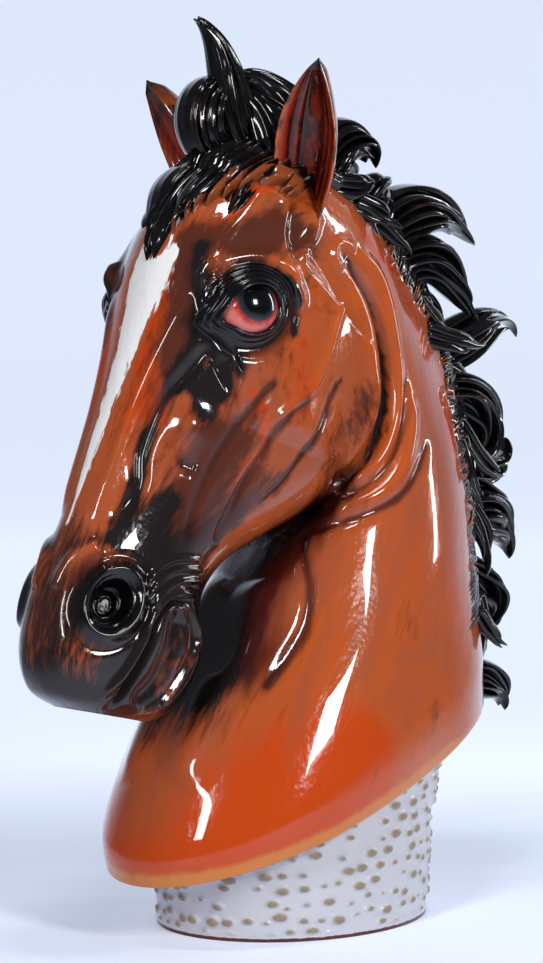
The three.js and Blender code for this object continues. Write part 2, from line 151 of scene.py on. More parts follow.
# The eye: its ball, where its socket and its gaze look, in degrees, and the almond opening between
# the lids, in units. FRONT_ names where the lids reach less far, towards the nose.
EYE_CENTRE = np.array([84.0, -155.0, 677.0])
EYE_RADIUS = 36.0
EYE_LOOK_OUT = 75.0
EYE_LOOK_UP = -3.0
GAZE_OUT = 75.0
GAZE_UP = 15.0
POLE_GAP = 0.01
OPENING_HALF = (31.0, 26.0)
OPENING_TILT = 16.0
LID_REACH = 30.0
LID_PROUD = 4.5
CORNER_LENGTH = 0.22
CORNER_SPREAD = 0.3
FRONT_BEARING = math.pi - 0.2
FRONT_LOSS = 0.5
FRONT_SPREAD = 0.9


def smooth(low, high, value):
    """Smooth step: 0 below low, 1 above high, and 3t^2 - 2t^3 between them."""
    t = np.clip((value - low) / (high - low), 0, 1)
    return t * t * (3 - 2 * t)


def unit(vectors):
    """The vectors, each made one long."""
    return vectors / np.maximum(np.linalg.norm(vectors, axis=-1, keepdims=True), 1e-9)


def turns(columns):
    """Angles in equal steps round a full turn."""
    return np.arange(columns) * FULL_TURN / columns


def grid_normals(points, wrap=True):
    """The way out of a surface at its grid points: the slope along the rows x the slope round them."""
    along = np.gradient(points, axis=0)
    around = np.roll(points, -1, 1) - np.roll(points, 1, 1) if wrap else np.gradient(points, axis=1)
    return unit(np.cross(along, around))


def catmull(rows, place):
    """A Catmull-Rom curve through the rows of a table, read at an array of places."""
    last = len(rows) - 1
    start = np.clip(np.floor(place).astype(int), 0, last - 1)
    t = (place - start)[:, None]
    a, b, c, d = (rows[np.clip(start + k, 0, last)] for k in (-1, 0, 1, 2))
    return 0.5 * (2 * b + (c - a) * t + (2 * a - 5 * b + 4 * c - d) * t**2
                  + (3 * b - a - 3 * c + d) * t**3)


def section_at(place):
    """The sections' values at any place: straight below the rim, so that it stays crisp, and smooth
    above it."""
    below = np.stack([np.interp(place, np.arange(RIM_SECTION + 1), column)
                      for column in SECTIONS[:RIM_SECTION + 1].T], axis=1)
    above = catmull(SECTIONS[RIM_SECTION:], np.maximum(place - RIM_SECTION, 0))
    return np.where((place < RIM_SECTION)[:, None], below, above)


def body_points(place, angle):
    """The plain body at paired places and angles: across it is half * sin(angle), narrowed towards
    the outer and the inner line, and along the chord from outer to inner it lies at
    widest * (1 - cos) on the outer side, going on with (1 - widest) * -cos on the inner side."""
    row = section_at(place)
    to_outer, to_inner = np.clip(np.cos(angle), 0, 1), np.clip(-np.cos(angle), 0, 1)
    half, widest, narrow_outer, narrow_inner = row[:, 4:].T
    share = widest * (1 - to_outer) + (1 - widest) * to_inner
    across = half * np.sin(angle) * (1 - narrow_outer * to_outer**NARROWING_POWER
                                     - narrow_inner * to_inner**NARROWING_POWER)
    y = row[:, 0] + (row[:, 2] - row[:, 0]) * share
    z = row[:, 1] + (row[:, 3] - row[:, 1]) * share
    return np.stack([across, y, z], axis=1)


SLOPE_STEP = 0.01


def body_normals(place, angle):
    """The way out of the plain body at paired places and angles: along x around, from its slopes."""
    along = body_points(np.minimum(place + SLOPE_STEP, LAST_SECTION), angle) \
        - body_points(np.maximum(place - SLOPE_STEP, 0), angle)
    around = body_points(place, angle + SLOPE_STEP) - body_points(place, angle - SLOPE_STEP)
    return unit(np.cross(along, around))


def line_on_body(places):
    """The points of a smooth line over the plain body through (section, degrees) places."""
    marks = np.array(places, float)
    if len(marks) > 1:
        marks = catmull(marks, np.linspace(0, len(marks) - 1, LINE_STEPS * (len(marks) - 1) + 1))
    return body_points(marks[:, 0], np.radians(marks[:, 1]))


def near_line(points, line, reach):
    """Which points lie within reach of a line, how far off, and the share along it, mirrored in X."""
    mirrored = points.copy()
    mirrored[:, 0] = np.abs(mirrored[:, 0])
    inside = ((mirrored > line.min(0) - reach) & (mirrored < line.max(0) + reach)).all(axis=1)
    near = np.flatnonzero(inside)
    if len(line) == 1 or not len(near):
        return near, np.linalg.norm(mirrored[near] - line[0], axis=1), np.full(len(near), 0.5)
    span = np.diff(line, axis=0)
    offset = mirrored[near, None] - line[None, :-1]
    share = np.clip((offset * span).sum(axis=-1) / (span**2).sum(axis=-1), 0, 1)
    apart = np.linalg.norm(offset - share[..., None] * span, axis=-1)
    closest = apart.argmin(axis=1)
    row = np.arange(len(near))
    return near, apart[row, closest], (closest + share[row, closest]) / len(span)


def carved(points):
    """How far the carving moves each point outwards: the sum over the carving lines of
    height * exp(-(distance / width)^2), dying away at both ends of a line."""
    out = np.zeros(len(points))
    for _, width, height, places in CARVING:
        line = line_on_body(places)
        near, distance, share = near_line(points, line, LINE_REACH * width)
        from_end = np.minimum(share, 1 - share) + CARVING_END
        ends = smooth(0, CARVING_FADE, from_end) if len(places) > 1 else 1
        out[near] += height * ends * np.exp(-((distance / width) ** 2))
    return out


# The white blaze down the forehead: section number, and its two edges in degrees round from the
# outer line. Its notch on top: section number, degrees, length in sections and half width.
BLAZE = np.array([
    (16.65, -4.0, 12.0), (16.85, -6.0, 17.0), (17.10, -7.5, 19.0), (17.60, -9.0, 19.0),
    (18.05, -8.5, 16.0), (18.55, -7.5, 13.0), (19.05, -6.5, 11.0), (19.70, -5.5, 8.5),
    (20.20, -5.5, 7.5), (20.80, -6.0, 5.5), (21.50, -5.5, 3.0), (22.20, -2.0, 0.5),
])
BLAZE_NOTCH = (16.6, 5.0, 0.5, 8.0)
BLAZE_END_SLOPE = 30

# Painted tones: (channel, strength, reach, line), added up as the carving is
TONES = [
    ("black", 1.3, 56, [(22.3, 92), (23.5, 92), (25.5, 90)]),
    ("black", 0.55, 40, [(23.6, 20), (24.4, 20), (26, 20)]),
    ("black", 0.9, 26, [(26.0, 10), (26.6, 60)]),
    ("brown", 1.0, 40, [(22.6, 14), (23.6, 16), (25.4, 20)]),
    ("black", 1.2, 56, [(23.0, 150), (25, 150)]),
    ("black", 0.8, 12, [(22.0, 60), (22.3, 40), (22.6, 20)]),
    # Painted shade: black under the jaw and down the front of the throat.
    ("black", 1.0, 34, [(5.9, 178), (7.2, 176), (9.0, 172), (11, 170)]),
    ("black", 1.1, 12, [(16.6, 30), (17.2, 35), (17.5, 37), (17.95, 44), (18.6, 42), (19.1, 40)]),
    ("black", 1.3, 24, [(17.7, 56), (18.2, 60), (18.7, 58)]),
    ("black", 0.9, 15, [(18.9, 55), (19.3, 58)]),
    ("black", 1.1, 9, [(17.15, 44), (16.35, 52), (15.65, 68), (15.55, 79), (16.0, 86)]),
    ("black", 0.9, 8, [(20.3, 38), (20.65, 40), (21.6, 48)]),
    ("black", 1.0, 14, [(21.1, 68), (21.5, 64), (22.1, 66)]),
    ("black", 0.7, 7, [(13.12, 70), (12.12, 76), (11.12, 88), (10.1, 102), (9.9, 118)]),
    ("black", 0.6, 12, [(18.8, 46), (19.7, 40), (20.6, 42), (21.6, 44), (22.2, 50)]),
    ("brown", 1.1, 24, [(14.4, 64), (15.2, 54), (16.0, 46)]),
    ("brown", 0.9, 22, [(16.6, 24), (17.6, 32), (18.6, 34)]),
    ("brown", 0.50, 60, [(14.8, 40), (16.8, 40), (18.6, 40), (20.4, 36)]),
    ("brown", 0.35, 50, [(15.6, 74), (17.2, 84), (19.2, 84), (21.0, 80)]),
    ("brown", 0.7, 16, [(19.0, 110), (19.4, 104), (20.15, 108), (21.0, 108)]),
    ("brown", 0.8, 26, [(19.6, 70), (20.4, 74), (21.4, 80)]),
    ("brown", 0.35, 30, [(18.8, 84), (19.6, 80), (20.6, 84), (21.6, 88)]),
    ("brown", 0.5, 9, [(14.2, 111), (16.4, 115), (18.4, 114), (19.6, 112)]),
    ("brown", 0.4, 8, [(16.9, 102), (18.5, 96), (19.9, 98), (21.1, 115)]),
    ("brown", 0.6, 30, [(11.9, 110), (12.6, 122), (14.2, 128), (16.4, 128)]),
    ("red", 0.9, 50, [(6.0, 160), (7.6, 155), (9.4, 150), (11.0, 150)]),
    ("red", 0.7, 30, [(20.4, 100), (21.2, 100), (22.0, 96)]),
    ("orange", 0.9, 22, [(11.9, 50), (10.4, 48), (9.2, 50), (8.0, 46), (7.2, 48)]),
    ("orange", 1.0, 66, [(2.6, 168), (2.8, 130), (3.0, 90)]),
    ("orange", 0.6, 60, [(4.4, 150), (4.6, 110)]),
    ("orange", 1.0, 10, [(14.6, 34), (15.4, 34), (16.2, 31), (17.15, 22), (17.9, 19), (19.2, 20)]),
    ("orange", 0.6, 24, [(18.4, 28), (19.4, 26), (20.4, 24)]),
    ("orange", 0.7, 16, [(19.75, 34), (19.95, 46)]),
    ("orange", 0.9, 9, [(18.2, 77), (18.8, 94), (19.55, 88), (21.1, 112)]),
    ("orange", 0.6, 30, [(15.9, 92), (16.8, 100), (17.8, 96)]),
    ("pale", 1.1, 13, [(1.8, 20), (1.8, 60), (1.8, 100), (1.8, 140), (1.8, 176)]),
    ("pale", 0.5, 14, [(2.2, 60), (2.2, 100), (2.2, 140), (2.2, 176)]),
]

# The nostril: where it is, which way its long axis turns, its half sizes, depth and flared rim
NOSTRIL_PLACE = (23.54, 58.0)
NOSTRIL_TURN = 20.0
NOSTRIL_HALF = (25.0, 32.0)
NOSTRIL_DEPTH = 34.0
NOSTRIL_RIM = 7.0
# As shares of the half sizes: where it stops and how far behind it, in units; the funnel; the rim's
# middle and half width; and the crease's depth, middle and half width
NOSTRIL_REACH = (2.2, -30)
FUNNEL = (0.35, 1.0)
RIM_SHAPE = (1.18, 0.17)
CREASE = (2.5, 1.62, 0.16)
# The ridges that wind inwards: height, how far a turn brings them in, and how close they lie
WINDING = (3.5, 0.16, 18)
NOSTRIL_STEP = 0.05


def tones(points):
    """The painted channels at each point: strength * exp(-(distance / reach)^2) of every tone."""
    found = {channel: np.zeros(len(points)) for channel, *_ in TONES}
    for channel, strength, reach, places in TONES:
        near, distance, _ = near_line(points, line_on_body(places), LINE_REACH * reach)
        found[channel][near] += strength * np.exp(-((distance / reach) ** 2))
    return found


def relief(points):
    """The fine carving alone, 1 on the crown of a ridge and -1 down in a groove."""
    out = np.zeros(len(points))
    for _, width, height, places in CARVING:
        if width < FINE_CARVING:
            near, distance, _ = near_line(points, line_on_body(places), LINE_REACH * width)
            out[near] += math.copysign(1, height) * np.exp(-((distance / (FINE_SHARPNESS * width)) ** 2))
    return np.clip(out, -1, 1)


def blaze(place, angle):
    """How far inside the blaze's edge a place lies, in degrees round the body, negative outside."""
    degrees = (np.degrees(angle) + 180) % 360 - 180
    low = np.interp(place, BLAZE[:, 0], BLAZE[:, 1])
    high = np.interp(place, BLAZE[:, 0], BLAZE[:, 2])
    inside = np.minimum(degrees - low, high - degrees)
    ends = np.minimum(place - BLAZE[0, 0], BLAZE[-1, 0] - place) * BLAZE_END_SLOPE
    notch_place, notch_angle, length, half = BLAZE_NOTCH
    notch = np.hypot((place - notch_place) / length * half, degrees - notch_angle) - half
    return np.minimum(np.minimum(inside, ends), notch)


def direction_at(out, up):
    """The direction so many degrees out from straight ahead to the horse's left, and upwards."""
    out, up = math.radians(out), math.radians(up)
    return np.array([math.sin(out) * math.cos(up), -math.cos(out) * math.cos(up), math.sin(up)])


def eye_frame(side):
    """An eye's centre and its axes: the look, across to the outer corner, and up."""
    look = direction_at(EYE_LOOK_OUT, EYE_LOOK_UP)
    across = unit(np.cross([0, 0, 1], look))
    rise = np.cross(look, across)
    mirror = np.array([side, 1, 1])
    return EYE_CENTRE * mirror, look * mirror, across * mirror, rise * mirror


def corner_stretch(a, b):
    """How much longer the almond's radius is than the ellipse's: only round the inner corner."""
    bearing = np.arctan2(b, a) % FULL_TURN - math.pi
    return 1 + CORNER_LENGTH * np.exp(-((bearing / CORNER_SPREAD) ** 2))


def lid_reach(a, b):
    """The share of their full reach that the lids have there: less in front, where the head turns
    away towards the nose."""
    bearing = (np.arctan2(b, a) - FRONT_BEARING + math.pi) % FULL_TURN - math.pi
    return 1 - FRONT_LOSS * np.exp(-((bearing / FRONT_SPREAD) ** 2))


def opening_distance(across, rise):
    """How far a point lies outside the almond between the lids, in units: an ellipse turned by the
    tilt, drawn out towards the inner corner in front and below."""
    turn = math.radians(OPENING_TILT)
    a = across * math.cos(turn) + rise * math.sin(turn)
    b = rise * math.cos(turn) - across * math.sin(turn)
    half_across, half_rise = OPENING_HALF
    radius = np.hypot(a / half_across, b / half_rise) / corner_stretch(a, b)
    return (radius - 1) * 0.5 * (half_across + half_rise), a, b


# Ridges round the opening: distance from it, half width, height, and how much only above it
LID_RIDGES = [(1.4, 1.6, 3.0, 0.0), (7.5, 2.0, 4.2, 0.4), (12.4, 1.9, 4.2, 1.0), (17.4, 2.0, 4.4, 1.0),
              (24.0, 3.4, 5.0, 1.0)]
LOWER_RIDGE_SHARE = 0.35
UPPER_FROM = (-16, 10)
# How far round and behind the ball's middle the skin is shaped, where the dome over the ball turns
# into a cone, as shares of its radius, and the cone's slope
EYE_REACH = 90
EYE_BACK = -45.0
DOME_END = (0.8, 0.6)
CONE_SLOPE = 0.9
DOME_BLEND = 3
# How deep the skin dives into the opening, and from where to where
DIVE_DEPTH = 16
DIVE = (0.5, -7)
# Where the lids' grid ends, and how far the skin lies under it there
LID_EDGE = (28.0, 33.0)
UNDER_LIDS = 1.2
# What the channels say far from any eye and from any nostril
NO_EYE = 200.0
NO_NOSTRIL = 9.0


def shape_eye(points, side, lids):
    """The skin round an eye: within the reach of the lids it moves along the look onto a dome just
    over the ball, and inside the opening it dives into the ball. The lids' own grid has thin ridges
    round the opening and dives under the skin at its edge, and the skin lies under the lids.
    Returns the moved points and their distance from the opening."""
    centre, look, across, rise = eye_frame(side)
    local = points - centre
    a, b, c = local @ across, local @ rise, local @ look
    near = np.flatnonzero((np.hypot(a, b) < EYE_REACH) & (c > EYE_BACK))
    a, b, c = a[near], b[near], c[near]
    distance, across_tilted, rise_tilted = opening_distance(a, b)
    far = distance / lid_reach(across_tilted, rise_tilted)
    span = np.hypot(a, b)
    dome = EYE_RADIUS + LID_PROUD
    across_end, out_end = DOME_END[0] * dome, DOME_END[1] * dome
    target = np.where(span < across_end, np.sqrt(np.maximum(dome**2 - span**2, 1)),
                      out_end - (span - across_end) * CONE_SLOPE)
    blend = 1 - smooth(DOME_BLEND, LID_REACH, distance)
    moved = c + blend * (target - c)
    if lids:
        upper = smooth(*UPPER_FROM, rise_tilted)
        for offset, width, height, late in LID_RIDGES:
            strength = late * upper + (1 - late) * (LOWER_RIDGE_SHARE + (1 - LOWER_RIDGE_SHARE) * upper)
            moved += height * strength * np.exp(-(((distance - offset) / width) ** 2))
        moved -= 2 * UNDER_LIDS * smooth(*LID_EDGE, far)
    else:
        moved -= UNDER_LIDS * (1 - smooth(*LID_EDGE, far))
    moved -= DIVE_DEPTH * smooth(*DIVE, distance)
    points = points.copy()
    points[near] += (moved - c)[:, None] * look
    edge = np.full(len(points), NO_EYE)
    edge[near] = distance
    return points, edge


def nostril_frame(side):
    """A nostril's centre and axes: out of the body, across the opening and along it."""
    place, degrees = NOSTRIL_PLACE
    at = np.array([place]), np.radians([degrees])
    centre, normal = body_points(*at), body_normals(*at)[0]
    ahead = body_points(at[0] + NOSTRIL_STEP, at[1])[0] - centre[0]
    along = unit(ahead - normal * (ahead @ normal))
    across = np.cross(along, normal)
    turn = math.radians(NOSTRIL_TURN)
    along, across = (along * math.cos(turn) + across * math.sin(turn),
                     across * math.cos(turn) - along * math.sin(turn))
    mirror = np.array([side, 1, 1])
    return centre[0] * mirror, normal * mirror, across * mirror, along * mirror


def shape_nostril(points, side):
    """The skin round a nostril: a funnel of depth * (1 - smooth step of the elliptic radius), a
    rounded rim about it, and ridges inside that wind inwards as the bearing turns."""
    centre, out, across, along = nostril_frame(side)
    local = points - centre
    a, b, c = local @ across, local @ along, local @ out
    radius = np.hypot(a / NOSTRIL_HALF[0], b / NOSTRIL_HALF[1])
    near = np.flatnonzero((radius < NOSTRIL_REACH[0]) & (c > NOSTRIL_REACH[1]))
    bearing = np.arctan2(b[near], a[near])
    r = radius[near]
    crease, crease_at, crease_half = CREASE
    height, inwards, closeness = WINDING
    move = -NOSTRIL_DEPTH * (1 - smooth(*FUNNEL, r))
    move += NOSTRIL_RIM * np.exp(-(((r - RIM_SHAPE[0]) / RIM_SHAPE[1]) ** 2))
    move -= crease * np.exp(-(((r - crease_at) / crease_half) ** 2))
    winding = r - inwards * (bearing % FULL_TURN) / FULL_TURN
    move += height * (1 - smooth(0.8, 0.95, r)) * smooth(0.25, 0.45, r) * np.cos(winding * closeness)
    points = points.copy()
    points[near] += move[:, None] * out
    shade = np.full(len(points), NO_NOSTRIL)
    shade[near] = r
    return points, shade


# The glaze's streaks follow the body: a mean radius and a section's length, in metres
FLOW_RADIUS = 0.075
FLOW_LENGTH = 0.05


def skin(place, angle, lids=False):
    """The carved skin of the body at grids of places and angles, and its painted channels."""
    shape = place.shape
    place, angle = place.ravel(), angle.ravel()
    plain, normal = body_points(place, angle), body_normals(place, angle)
    points = plain + normal * carved(plain)[:, None]
    lid_edge = np.full(len(points), NO_EYE)
    nostril = np.full(len(points), NO_NOSTRIL)
    for side in (1, -1):
        points, edge = shape_eye(points, side, lids)
        lid_edge = np.minimum(lid_edge, edge)
        points, radius = shape_nostril(points, side)
        nostril = np.minimum(nostril, radius)
    channels = tones(plain) | {
        "relief": relief(plain), "blaze": blaze(place, angle), "lid_edge": lid_edge, "nostril": nostril,
        "flow_x": FLOW_RADIUS * np.cos(angle), "flow_y": FLOW_RADIUS * np.sin(angle),
        "flow_z": FLOW_LENGTH * place,
    }
    return points.reshape(*shape, 3), {name: values.reshape(shape) for name, values in channels.items()}


# The lids' grid: a place near the eye where the search starts, its steps, and the first ring's depth
EYE_PLACE = (16.9, 66.0)
NEWTON_STEPS = 6
FIRST_RING = -8
LAST_RING = LID_EDGE[1] + 2


def eye_lids(side, rows=72, columns=180):
    """The lids: a finer grid of the skin round an eye, in rings that follow the opening. The place
    and angle under each point of the eye's own plane come from a few steps of Newton's method."""
    centre, _, across, rise = eye_frame(1)
    distance = np.linspace(FIRST_RING, LAST_RING, rows)[:, None]
    round_ = turns(columns)[None]
    half_across, half_rise = OPENING_HALF
    a, b = half_across * np.cos(round_), half_rise * np.sin(round_)
    distance = distance * np.where(distance > 0, lid_reach(a, b), 1)
    radius = (1 + distance / (0.5 * (half_across + half_rise))) * corner_stretch(a, b)
    turn = math.radians(OPENING_TILT)
    wanted = np.stack([radius * (a * math.cos(turn) - b * math.sin(turn)),
                       radius * (a * math.sin(turn) + b * math.cos(turn))], axis=-1).reshape(-1, 2)
    axes = np.stack([across, rise], axis=1)
    place = np.full(len(wanted), EYE_PLACE[0])
    angle = np.full(len(wanted), math.radians(EYE_PLACE[1]))
    for _ in range(NEWTON_STEPS):
        here = (body_points(place, angle) - centre) @ axes
        by_place = ((body_points(place + SLOPE_STEP, angle) - centre) @ axes - here) / SLOPE_STEP
        by_angle = ((body_points(place, angle + SLOPE_STEP) - centre) @ axes - here) / SLOPE_STEP
        short = wanted - here
        area = by_place[:, 0] * by_angle[:, 1] - by_place[:, 1] * by_angle[:, 0]
        place = place + (short[:, 0] * by_angle[:, 1] - short[:, 1] * by_angle[:, 0]) / area
        angle = angle + (by_place[:, 0] * short[:, 1] - by_place[:, 1] * short[:, 0]) / area
    place, angle = place.reshape(rows, columns), side * angle.reshape(rows, columns)
    if side < 0:
        place, angle = place[:, ::-1], angle[:, ::-1]
    return skin(place, angle, lids=True)


def grid_faces(rows, columns, wrap, caps):
    """The quads of a grid whose outward side is row direction x column direction, and the triangles
    of the fans that close its ends, as vertex numbers; a fan's middle point follows the grid's own."""
    numbers = np.arange(rows * columns).reshape(rows, columns)
    here = numbers if wrap else numbers[:, :-1]
    beside = np.roll(numbers, -1, axis=1) if wrap else numbers[:, 1:]
    quads = np.stack([here[:-1], here[1:], beside[1:], beside[:-1]], axis=-1).reshape(-1, 4)
    fans = [np.zeros((0, 3), int)]
    middle = rows * columns
    for end, row in ((0, 0), (1, rows - 1)):
        if caps[end]:
            ring, after = numbers[row], np.roll(numbers[row], -1)
            pair = (after, ring) if end else (ring, after)
            fans.append(np.stack([np.full(columns, middle), *pair], axis=-1))
            middle += 1
    return quads, np.concatenate(fans)


def surface(name, grids, wrap=True, caps=(False, False), trim=(0, 0)):
    """One mesh over grids of points in units, each with its channels, which become attributes. wrap
    joins a grid's last column to its first, and a capped end gets a fan to its middle point. The
    rows in trim, at the start and the end, only steer the shading across a seam and get no faces."""
    all_points, all_normals, all_quads, all_fans, values = [], [], [], [], {}
    count = 0
    for points, channels in grids:
        normal = grid_normals(points, wrap)
        kept = slice(trim[0], len(points) - trim[1])
        points, normal = points[kept], normal[kept]
        channels = {key: value[kept] for key, value in channels.items()}
        rows, columns = points.shape[:2]
        quads, fans = grid_faces(rows, columns, wrap, caps)
        ends = [row for capped, row in zip(caps, (0, -1)) if capped]
        all_points += [points.reshape(-1, 3), *(points[row].mean(axis=0, keepdims=True) for row in ends)]
        all_normals += [normal.reshape(-1, 3), np.zeros((len(ends), 3))]
        for key, value in channels.items():
            middles = (value[row].mean(keepdims=True) for row in ends)
            values.setdefault(key, []).extend([value.ravel(), *middles])
        all_quads.append(quads + count)
        all_fans.append(fans + count)
        count += rows * columns + len(ends)
    vertices = np.concatenate(all_points) * UNIT
    quads, triangles = np.concatenate(all_quads), np.concatenate(all_fans)
    mesh = bpy.data.meshes.new(name)
    mesh.vertices.add(len(vertices))
    mesh.vertices.foreach_set("co", vertices.ravel())
    mesh.loops.add(quads.size + triangles.size)
    mesh.loops.foreach_set("vertex_index", np.concatenate([quads.ravel(), triangles.ravel()]))
    mesh.polygons.add(len(quads) + len(triangles))
    starts = np.concatenate([np.arange(len(quads)) * 4, quads.size + np.arange(len(triangles)) * 3])
    mesh.polygons.foreach_set("loop_start", starts)
    mesh.polygons.foreach_set("use_smooth", np.ones(len(starts), bool))
    for key, value in values.items():
        attribute = mesh.attributes.new(key, "FLOAT", "POINT")
        attribute.data.foreach_set("value", np.concatenate(value).astype(np.float32))
    mesh.update(calc_edges=True)
    if any(trim):
        mesh.normals_split_custom_set_from_vertices(np.concatenate(all_normals))
    made = bpy.data.objects.new(name, mesh)
    bpy.context.scene.collection.objects.link(made)
    return made


class Signal:
    """One socket of a node tree: arithmetic is written as operators, any other node through node()."""

    def __init__(self, tree, socket=None):
        self.tree = tree
        self.socket = socket

    def node(self, kind, settings=None, inputs=None, output=0):
        """Add a node with its settings, give its sockets values or links, and return one output."""
        made = self.tree.nodes.new(kind)
        for name, value in (settings or {}).items():
            setattr(made, name, value)
        for key, value in (inputs or {}).items():
            if isinstance(value, Signal):
                self.tree.links.new(value.socket, made.inputs[key])
            else:
                made.inputs[key].default_value = value
        return Signal(self.tree, made.outputs[output])

    def math(self, operation, *values):
        """Add the Math node of an operation on signals or numbers."""
        return self.node("ShaderNodeMath", {"operation": operation}, dict(enumerate(values)))

    def __add__(self, other):
        return self.math("ADD", self, other)

    def __sub__(self, other):
        return self.math("SUBTRACT", self, other)

    def __rsub__(self, other):
        return self.math("SUBTRACT", other, self)

    def __mul__(self, other):
        return self.math("MULTIPLY", self, other)

    def __neg__(self):
        return self.math("MULTIPLY", self, -1.0)

    __radd__ = __add__
    __rmul__ = __mul__

    def swing(self, amount):
        """A noise moved to swing about 0, by an amount from end to end."""
        return (self - 0.5) * amount

    def ramp(self, low, high):
        """0 below low, 1 above high and smooth between them."""
        settings = {"interpolation_type": "SMOOTHSTEP", "clamp": True}
        inputs = {"Value": self, "From Min": low, "From Max": high}
        return self.node("ShaderNodeMapRange", settings, inputs)

    def mix(self, low, high):
        """The colour low where this signal is 0, and high where it is 1."""
        settings = {"data_type": "RGBA", "clamp_factor": True}
        return self.node("ShaderNodeMix", settings, {0: self, 6: low, 7: high}, output=2)

    def attribute(self, name):
        """A value painted on the mesh, by its name."""
        return self.node("ShaderNodeAttribute", {"attribute_name": name}, output=2)

    def noise(self, size, detail=3.0, stretch=(1.0, 1.0, 1.0), warp=0.0, flow=False):
        """Cloudy noise of a blob size in metres on the object's own coordinates, or on those that flow
        along the body, longer along an axis by its stretch, and swirled by warp."""
        coordinates = self.node("ShaderNodeTexCoord", output=3)
        if flow:
            channels = {axis: self.attribute(f"flow_{name}") for axis, name in enumerate("xyz")}
            coordinates = self.node("ShaderNodeCombineXYZ", {}, channels)
        scale = [1 / (size * s) for s in stretch]
        placed = self.node("ShaderNodeMapping", {}, {0: coordinates, 3: scale})
        inputs = {"Vector": placed, "Scale": 1.0, "Detail": detail, "Distortion": warp}
        return self.node("ShaderNodeTexNoise", {}, inputs)


# The clear coat over every glaze, and the little gloss that is left under it
COAT_ROUGHNESS = 0.025
COAT_IOR = 1.4
UNDER_COAT_GLOSS = 0.12

# The glazes' colours, linear red, green and blue
ORANGE = (0.43, 0.078, 0.013, 1)
BRIGHT_ORANGE = (0.47, 0.050, 0.003, 1)
TERRACOTTA = (0.33, 0.072, 0.027, 1)
BROWN = (0.085, 0.020, 0.010, 1)
GROOVE_BROWN = (0.060, 0.014, 0.010, 1)
DARK_RED = (0.045, 0.005, 0.003, 1)
SOFT_BLACK = (0.012, 0.008, 0.008, 1)
BLACK = (0.003, 0.0025, 0.003, 1)
WHITE = (0.84, 0.83, 0.82, 1)
STAND_WHITE = (0.50, 0.50, 0.54, 1)
BEIGE = (0.25, 0.20, 0.13, 1)
TAN = (0.52, 0.16, 0.03, 1)
# The ear's dark red is also its painted shade deep in the hollow.
EAR_DARK_AND_SHADE = (0.030, 0.003, 0.002, 1)
EAR_RED = (0.26, 0.022, 0.008, 1)
# A brown in the black hair, used also as a sheen painted on the strands' crowns.
HAIR_BROWN_AND_SHEEN = (0.030, 0.014, 0.010, 1)
HAIR_BROWN = (0.22, 0.050, 0.014, 1)
EYE_RED = (0.42, 0.018, 0.012, 1)
EYE_PINK = (0.66, 0.17, 0.15, 1)
IRIS_INNER = (0.008, 0.010, 0.013, 1)
IRIS_OUTER = (0.028, 0.034, 0.045, 1)
PUPIL = (0.001, 0.001, 0.001, 1)


def glaze_material(name, colour_of, roughness, coat, bump_of, coat_of, ripple):
    """A glazed ceramic: the colour that colour_of builds, a clear glossy coat that coat_of may take
    away in places, and a gentle bump."""
    material = bpy.data.materials.new(name)
    material.use_nodes = True
    tree = material.node_tree
    shader = tree.nodes["Principled BSDF"]
    start = Signal(tree)
    values = {"Roughness": roughness, "Coat Weight": coat, "Coat IOR": COAT_IOR,
              "Specular IOR Level": UNDER_COAT_GLOSS, "Coat Roughness": COAT_ROUGHNESS}
    for socket, value in values.items():
        shader.inputs[socket].default_value = value
    tree.links.new(colour_of(start).socket, shader.inputs["Base Color"])
    if coat_of:
        tree.links.new(coat_of(start).socket, shader.inputs["Coat Weight"])
    if bump_of:
        inputs = {"Strength": 1.0, "Distance": ripple, "Height": bump_of(start)}
        bump = start.node("ShaderNodeBump", {}, inputs)
        tree.links.new(bump.socket, shader.inputs["Normal"])
    return material


